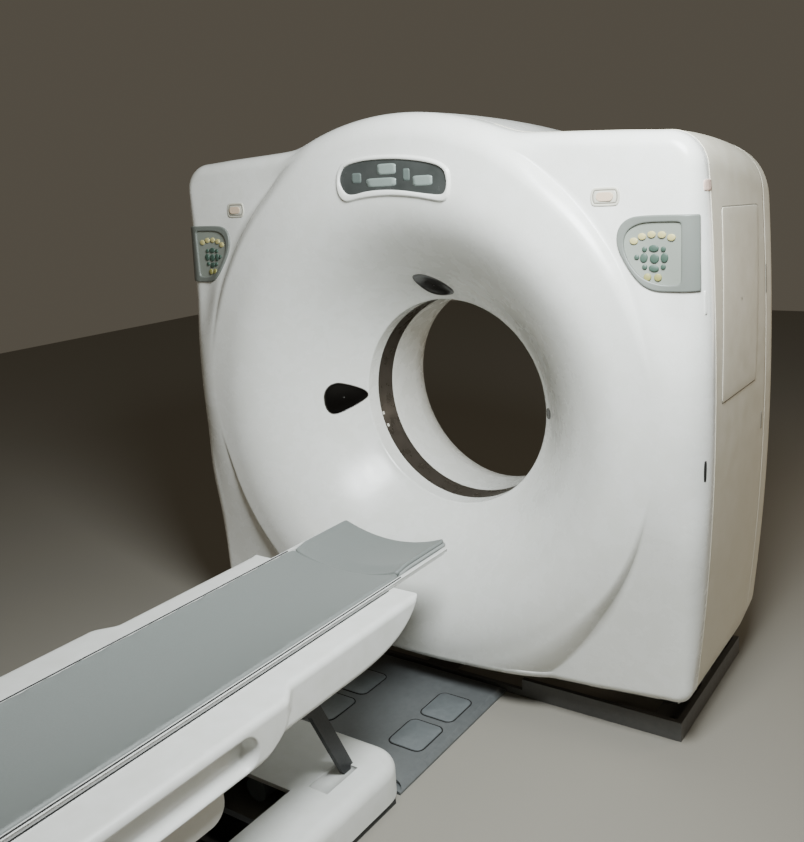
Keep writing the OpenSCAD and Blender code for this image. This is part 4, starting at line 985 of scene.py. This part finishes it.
# %% Laser windows
def window(name, outline, node):
    loop = rounded(outline, 2, 90)
    relief(
        name + "_rim", steps(loop, [(-2.2, -0.4), (-1.2, 1.0), (0, 1.3), (0.8, 0.6)]), "ring", 1, 0,
    )
    glass = relief(name + "_glass", steps(loop, [(0, 0.5), (3, 0.9)]), "glass", 1, 6)
    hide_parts(node)


WINDOWS = {
    "top_laser": [(-68, 435), (-27, 444), (11, 430), (38, 408), (54, 376), (1, 363), (-45, 369), (-66, 396)],
    "left_laser": [
        (-432, 56), (-405, 48), (-362, 19), (-352, 3), (-356, -13), (-418, -56), (-441, -57), (-455, -26),
        (-455, 27)
    ],
    "right_laser": [(355, 12), (355, -12), (364, -17), (376, -12), (380, 0), (376, 12), (364, 17)],
}
for name, outline in WINDOWS.items():
    window(name, outline, name + "_window")
print("laser windows:", len(WINDOWS))

# %% [markdown]
# ## The right and left sides
# A large access panel lifts off each side for service, small latches hold the covers, and a bead closes
# the front seam. Extruding faces of the side cover would tie them to its grid. Reliefs have their own
# outline, so the panel's slanted edge is as straight as the real one.

# %% Side details
def box_loop(s0, s1, z0, z1, r, count):
    corners = [
        (s0 + r, z0), (s1 - r, z0), (s1, z0 + r), (s1, z1 - r), (s1 - r, z1), (s0 + r, z1), (s0, z1 - r),
        (s0, z0 + r)
    ]
    return rounded(corners, 2, count)


DOOR = rounded([
    (1002, 112), (1010, 111), (1180, 110), (1328, 109), (1336, 110), (1337, 120), (1358, 360), (1378, 606),
    (1378, 614), (1370, 615), (1200, 620), (1042, 625), (1034, 625), (1033, 617), (1016, 370), (1001, 120),
], 2, 120)
MARKS = [
    (917, 958, 671, 700, "pink"), (914, 921, 363, 425, "cover"), (1446, 1453, 350, 437, "groove"),
    (1408, 1415, -62, -8, "groove")
]
for side, label in ((1, "right"), (-1, "left")):
    relief(label + "_access_groove", steps(DOOR, [(-3.0, 0.0), (-2.4, 0.3), (0.5, 0.3)]), "groove", side, 0)
    door = relief(
        label + "_access_door", steps(DOOR, [(0, -0.2), (0.2, 1.0), (0.9, 1.7), (2.5, 1.9)]), "side",
        side, 10
    )
    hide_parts(label + "_access_panel")
    seam = [(side * x, -SEAM_FRONT, z + ISO) for x, z in RIM[(RIM[:, 0] > 0.3) & (RIM[:, 1] > -0.72)]]
    bead(label + "_seam_bead", seam, 0.0013, "side", "gantry")
    for i, (s0, s1, z0, z1, key) in enumerate(MARKS):
        r = 2 if s1 - s0 < 12 else 4
        mark = steps(box_loop(s0, s1, z0, z1, r, 48), [(0, -0.2), (0.4, 1.2), (1.2, 1.8)])
        relief(f"{label}_side_mark_{i}", mark, key, side, 3)
    side_slot = steps(box_loop(911, 918, -80, -20, 3, 40), [(0, 0.0), (0.4, 0.5)])
    relief(label + "_side_slot", side_slot, "gap", side, 3)
print("side details made")

# %% [markdown]
# ## Rear vents
# Upright slots low in the rear cover let warm air out. Cutting them with a boolean would leave long thin
# triangles in the flat wall, so one small dark pill shape is set on fourteen points by the stud tree.

# %% Rear vents
pill = stud_shape("vent_slot", rounded([(-8, -35), (8, -35), (8, 35), (-8, 35)], 3, 32), 0.0008, 0.0004)
vent_places = [((0.044 * (i - 6.5), REAR, ISO - 0.559), (0, 1, 0), (1, 1, 1)) for i in range(14)]
studs("rear_vents", vent_places, pill, "gap")
print("rear vents:", len(vent_places))

# %% [markdown]
# ## Air slots
# Two dark slots lie in the hollow at the right of the dome. They are laid on the roof with rays from
# above, as the rays from the front would miss it.

# %% Air slots
for i, x in enumerate((452, 492)):
    left, right = x - 7, x + 7
    strip = rounded(
        [(left, -174), (x, -180), (right, -174), (right, 0), (right, 144), (x, 150), (left, 144), (left, 0)],
        2, 80
    )
    relief(f"air_slot_{i}", steps(strip, [(0, 0.2), (0.8, 1.0), (2.5, 1.0)]), "gap", 1, 3, place=on_roof)
print("air slots made")

# %% [markdown]
# ## The mattress and the head pad
# Foam in welded vinyl: hollowed across, with rolled edges and a few soft creases. A cloth simulation
# could settle them, but it would give another shape on each machine. Sections are stacked along the
# table instead, and sine waves along the edges stand for the creases.

# %% Sections of a pad
def pad_points(half, y0, y1, z_mid, rise, thick, roll, rows, cols, crease, rear_dip=0.0, corner=0.030):
    u = np.linspace(-1, 1, cols)
    turn = np.radians(np.linspace(80, -80, 9))
    length = np.linspace(0, 1, rows)
    length = length - 0.35 * np.sin(2 * np.pi * length) / (2 * np.pi)
    points = []
    for y in y0 + (y1 - y0) * length:
        end = min(y - y0, y1 - y)
        pull = corner - math.sqrt(max(corner**2 - max(corner - end, 0) ** 2, 0))
        puff = roll * math.sqrt(max(1 - max(1 - end / roll, 0) ** 2, 0.02))
        dip = rear_dip * (1 - float(smoothstep(y, y0, y0 + 0.06)))
        h = half - roll - pull
        wave = crease * (math.sin(y * 61) + 0.6 * math.sin(y * 143 + 1.3) + 0.4 * math.sin(y * 271 + 0.4))
        zc = z_mid - thick / 2 - dip
        body = np.minimum(thick / 2, puff)
        edge = zc + rise * (h / half) ** 2
        top = [(h * t, y, zc + rise * (h * t / half) ** 2 + body + 0.25 * abs(wave) * abs(t) ** 6) for t in u]
        right = [(h + (puff + wave) * math.cos(a), y, edge + (puff + wave) * math.sin(a)) for a in turn]
        low = [(h * t, y, zc + rise * (h * t / half) ** 2 - body) for t in u[::-1]]
        left = [(-h - (puff - wave) * math.cos(a), y, edge + (puff - wave) * math.sin(a)) for a in turn[::-1]]
        points.append(top + right + low + left)
    return points


print("pad sections ready")

# %% [markdown]
# The sections become closed meshes with outward faces. The pads say what they stand for.
# The hard holder below the head pad is made from the same sections.

# %% Soft pads
def soft_pad(name, node, key, slot, fill, **shape):
    points = pad_points(**shape)
    count = len(points[0])
    obj = new_object(name, np.array(points).reshape(-1, 3), grid_faces(len(points), count, True) + [
        list(range(count))[::-1], [len(points) * count - count + i for i in range(count)]])
    mesh_out(obj)
    paint(obj, key)
    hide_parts(node)
    ride(obj, "cradle")
    return obj


def mesh_out(obj):
    work = bmesh.new()
    work.from_mesh(obj.data)
    bmesh.ops.recalc_face_normals(work, faces=work.faces)
    work.to_mesh(obj.data)
    work.free()
    return obj


soft_pad(
    "mattress_pad", "mattress", "vinyl", "vinyl_pad", 0.8, half=0.201, y0=-2.758, y1=-0.713,
    z_mid=0.541, rise=0.034, thick=0.018, roll=0.010, rows=320, cols=25, crease=0.0007,
)
soft_pad(
    "head_rest_pad", "head_pad", "vinyl", "vinyl_pad", 0.7, half=0.190, y0=-0.722, y1=-0.472,
    z_mid=0.5475, rise=0.038, thick=0.012, roll=0.0075, rows=60, cols=25, crease=0.0,
    rear_dip=0.008, corner=0.012,
)
soft_pad(
    "head_rest_shell", "head_holder", "holder", "holder_shell", 0, half=0.194, y0=-0.712, y1=-0.468,
    z_mid=0.5385, rise=0.037, thick=0.014, roll=0.007, rows=50, cols=25, crease=0.0,
    rear_dip=0.004, corner=0.012,
)
print("pads made")

# %% [markdown]
# ## Rails along the table
# A dark line and a thin white rail run along each edge of the cradle and of the table top. Each is one
# bead: x, height, first and last y, radius, finish, body and slot.

# %% Rails
RAILS = [
    ("cradle_line", 0.2085, 0.5672, -2.74, -0.73, 0.0022, "gap", "cradle", "cradle_shell"),
    ("cradle_rail", 0.2135, 0.5668, -2.78, -0.50, 0.0020, "cradle", "cradle", "cradle_shell"),
    ("table_line", 0.2185, 0.5578, -2.79, -0.80, 0.0016, "gap", "table_top", "table_plastic"),
    ("table_rail", 0.2225, 0.5578, -2.79, -0.80, 0.0018, "cradle", "table_top", "table_plastic"),
]
for side, label in ((1, "right"), (-1, "left")):
    for name, x, z, y0, y1, radius, key, body, slot in RAILS:
        path = [(side * x, y, z) for y in np.linspace(y0, y1, 30)]
        bead(f"{label}_{name}", path, radius, key, body)
print("rails:", 2 * len(RAILS))

# %% [markdown]
# ## The table's side covers
# One moulded wall runs from the nose to the tail. It widens into the arm rest, and a hand grip is pressed
# into it. Sculpting could do both, but two plain rules of the place along the table and the height keep
# the left and right covers true mirror images.

# %% Rules of the side covers
LEDGE, UNDER = 0.558, 0.448
NOSE = curve_points([(-0.776, 0.558), (-0.802, 0.500), (-0.866, 0.448), (-1.050, 0.448)], 40)


def cover_width(y, z):
    t = (LEDGE - z) / (LEDGE - UNDER)
    front = -1.286 - 0.020 * t - 0.085 * max(t - 0.45, 0) ** 2 / 0.30
    grow = float(smoothstep(-y, -front - 0.012, -front + 0.058))
    width = 0.302 + 0.038 * grow
    tip = max(0.028 - (-0.776 - y), 0) / 0.028
    width -= 0.012 * (1 - math.sqrt(1 - tip * tip))
    end = np.clip(y, -2.296 + 0.040, -1.436 - 0.040)
    away = math.hypot(y - end, z - 0.497)
    return width - 0.034 * float(smoothstep(0.041 - away, 0.0, 0.017))


def cover_section(y):
    under = float(np.interp(-y, -NOSE[:, 0], NOSE[:, 1]))
    tall = max(LEDGE - under, 0.002)
    r = min(0.017, tall * 0.49)
    edge_top = cover_width(y, LEDGE - 0.3 * r)
    line = [(x, y, LEDGE) for x in np.linspace(0.217, edge_top - r, 10)]
    for a in np.linspace(0, math.pi / 2, 8)[1:]:
        z = LEDGE - r + r * math.cos(a)
        line.append((cover_width(y, z) - r + r * math.sin(a), y, z))
    for z in np.linspace(LEDGE - r, under + r, 34)[1:-1]:
        line.append((cover_width(y, z), y, z))
    for a in np.linspace(0, math.pi / 2, 8):
        z = under + r - r * math.sin(a)
        line.append((cover_width(y, z) - r + r * math.cos(a), y, z))
    bottom = line[-1][0]
    return line + [(x, y, under) for x in np.linspace(bottom, 0.229, 5)[1:]]


print("side cover rules ready")

# %% [markdown]
# Sections of the wall are set along the table, closer together at the nose and round the grip.

# %% Table side covers
def stations_of(parts):
    return np.concatenate([np.linspace(a, b, n, endpoint=False) for a, b, n in parts] + [[parts[-1][1]]])


along = stations_of([
    (-0.777, -0.80, 8), (-0.80, -1.05, 26), (-1.05, -1.26, 8), (-1.26, -1.52, 64),
    (-1.52, -2.22, 30), (-2.22, -2.31, 30), (-2.31, -2.80, 8),
])
for side, label in ((1, "right"), (-1, "left")):
    rows = [[(side * x, y, z) for x, y, z in cover_section(y)] for y in along]
    piece = grid_mesh(label + "_table_shell", rows if side > 0 else rows[::-1])
    paint(piece, "table")
    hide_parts(label + "_table_cover")
    ride(piece, "table_top")
print("table covers made")

# %% [markdown]
# ## The base cover
# The foot of the table is a low tub with openings for the legs and the lift. A boolean would cut it from
# a block. Here rings of a rounded rectangle climb the wall and turn over the edge, the flat top is a grid
# of cells, and the cells over the openings are left out, which leaves clean edges to add short walls to.

# %% Base cover
def plan_ring(x, y0, y1, r, shrink, count=24):
    x, y0, y1, r = x - shrink, y0 + shrink, y1 - shrink, max(r - shrink, 0.002)
    ring = []
    for cx, cy, a0 in ((x - r, y1 - r, 0), (-x + r, y1 - r, 90), (-x + r, y0 + r, 180), (x - r, y0 + r, 270)):
        ring.append(arc_points(cx, cy, r, a0, a0 + 90, count))
    return np.concatenate(ring)


def base_shell():
    wide, y0, y1, corner, edge, top = 0.285, -2.288, -0.848, 0.096, 0.036, 0.122
    rows = [[(x, y, z) for x, y in plan_ring(wide, y0, y1, corner, 0)] for z in (0.0205, 0.05, top - edge)]
    for a in np.linspace(0, math.pi / 2, 10)[1:]:
        loop = plan_ring(wide, y0, y1, corner, edge * (1 - math.cos(a)))
        rows.append([(x, y, top - edge + edge * math.sin(a)) for x, y in loop])
    rows.append([(x, y, top) for x, y in plan_ring(wide, y0, y1, 0.060, 0.060)])
    points = np.array(rows)
    verts = list(points.reshape(-1, 3))
    faces = grid_faces(len(rows), points.shape[1], True)
    holes = [(0.143, 0.207, -1.098, -0.972), (-0.207, -0.143, -1.098, -0.972), (0.143, 0.207, -2.098, -1.972),
             (-0.207, -0.143, -2.098, -1.972), (-0.112, 0.112, -1.407, -1.133)]
    xs = sorted({-0.225, 0.225} | {h[i] for h in holes for i in (0, 1)})
    ys = sorted({-2.228, -0.908} | {h[i] for h in holes for i in (2, 3)})
    for xa, xb in zip(xs, xs[1:]):
        for ya, yb in zip(ys, ys[1:]):
            xm, ym = (xa + xb) / 2, (ya + yb) / 2
            if any(h[0] < xm < h[1] and h[2] < ym < h[3] for h in holes):
                continue
            start = len(verts)
            verts += [(xa, ya, top), (xb, ya, top), (xb, yb, top), (xa, yb, top)]
            faces.append([start, start + 1, start + 2, start + 3])
    for xa, xb, ya, yb in holes:
        start = len(verts)
        loop = [(xa, ya), (xb, ya), (xb, yb), (xa, yb)]
        verts += [(x, y, top) for x, y in loop] + [(x, y, top - 0.012) for x, y in loop]
        faces += [[start + i, start + (i + 1) % 4, start + 4 + (i + 1) % 4, start + 4 + i] for i in range(4)]
        if xb - xa < 0.1:
            faces.append([start + 4, start + 5, start + 6, start + 7])
    obj = new_object("table_base_shell", verts, faces)
    paint(obj, "table")
    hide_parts("table_base_cover")
    return ride(obj, "base")


base_shell()
print("base cover made")

# %% [markdown]
# ## The floor plate's foot pads
# Raised pads on the floor plate mark where to stand. They are copies of one rounded tile on four points,
# and a dark bead runs round each as the shadow line of its edge.

# %% Foot pads
tile_loop = plan_ring(0.058, -0.067, 0.067, 0.022, 0, 8)
tile = stud_shape("foot_tile", tile_loop, 0.0022, 0.0016)
spots = [(s * 0.166, y, 0.0203) for s in (-1, 1) for y in (-0.480, -0.648)]
studs("foot_pads", [(p, (0, 0, 1), (1, 1, 1)) for p in spots], tile, "plate_light", "base")
pad_ring = plan_ring(0.0605, -0.0695, 0.0695, 0.0245, 0, 8)
for i, (x, y, _) in enumerate(spots):
    path = [(x + a, y + b, 0.0202) for a, b in pad_ring]
    bead(f"foot_pad_line_{i}", path, 0.0020, "gap", "base", True)
print("foot pads made")

# %% [markdown]
# ## Marks on the dark ring
# Two short strips of white tape sit on the dark ring at the left. They could be painted in the ring's
# material, but a strip of faces just inside the ring stays crisp at any distance.

# %% Ring marks
TAPE_R = 0.3492
for i, (angle, y) in enumerate(((193.7, -0.038), (201.4, -0.033))):
    turns = math.radians(angle) + np.linspace(-0.016, 0.016, 6)
    rows = [
        [(TAPE_R * math.cos(a), y + dy, ISO + TAPE_R * math.sin(a)) for a in turns] for dy in (-0.004, 0.007)
    ]
    strip = grid_mesh(f"ring_mark_{i}", rows)
    paint(strip, "mark")
    ride(strip, "gantry")
print("ring marks made")

# %% [markdown]
# ## Camera
# The camera stands where the photo's stood. It could be aimed with a Track To constraint, but the solved
# directions are known, so they go straight into its matrix: right, up and backward are its columns.
# The lens is the focal length in pixels over the picture's height, and the shift moves its centre.

# %% Camera
camera_data = bpy.data.cameras.new("camera")
camera = bpy.data.objects.new("camera", camera_data)
bpy.context.scene.collection.objects.link(camera)
bpy.context.scene.camera = camera
right = (0.8353, 0.5473, -0.0530)
down = (0.0746, -0.2084, -0.9752)
forward = (-0.5448, 0.8106, -0.2149)
camera.matrix_world = Matrix((
    (right[0], -down[0], -forward[0], 1.653),
    (right[1], -down[1], -forward[1], -2.657),
    (right[2], -down[2], -forward[2], 1.639),
    (0, 0, 0, 1),
))
PICTURE, FOCAL, SENSOR = 842, 933.6, 36
camera_data.sensor_width = SENSOR
camera_data.lens = FOCAL / PICTURE * SENSOR
camera_data.shift_x = (402 - 435.0) / PICTURE
camera_data.shift_y = (383.5 - 421) / PICTURE
camera_data.clip_start, camera_data.clip_end = 0.05, 60
print("lens", round(camera_data.lens, 1), "mm")

# %% [markdown]
# ## Stage and light
# A plain floor, a large soft key light from the upper right and a weak fill give the shaded left side.
# A third, low light from behind lifts the right side wall. Disk lights were chosen, because their soft
# edges leave no hard highlight on the covers.

# %% Stage and light
floor = new_object("stage_floor", [(-8, -8, 0), (8, -8, 0), (8, 8, 0), (-8, 8, 0)], [(0, 1, 2, 3)], False)
stage_mat, _, _ = base_material("stage_floor", "#8b877d", 0.7)
floor.data.materials.append(stage_mat)

world = bpy.data.worlds.new("world")
bpy.context.scene.world = world
world.use_nodes = True
world.node_tree.nodes["Background"].inputs["Color"].default_value = linear("#c9bda8")
world.node_tree.nodes["Background"].inputs["Strength"].default_value = 0.16


def area_light(name, place, aim, size, power, colour):
    data = bpy.data.lights.new(name, "AREA")
    data.shape, data.size, data.energy = "DISK", size, power
    data.color = linear(colour)[:3]
    lamp = bpy.data.objects.new(name, data)
    bpy.context.scene.collection.objects.link(lamp)
    lamp.location = place
    lamp.rotation_euler = (Vector(aim) - Vector(place)).to_track_quat("-Z", "Y").to_euler()


area_light("key", (1.12, -1.3, 2.43), (0.15, -0.3, 0.95), 0.8, 108, "#f6fcff")
area_light("fill", (-0.4, -4.6, 2.0), (0, -0.5, 0.9), 1.4, 12, "#fff2e0")
area_light("side", (2.9, 2.3, 1.1), (0.93, 0, 0.15), 1.2, 22, "#ffecd2")
print("stage and three lights set")
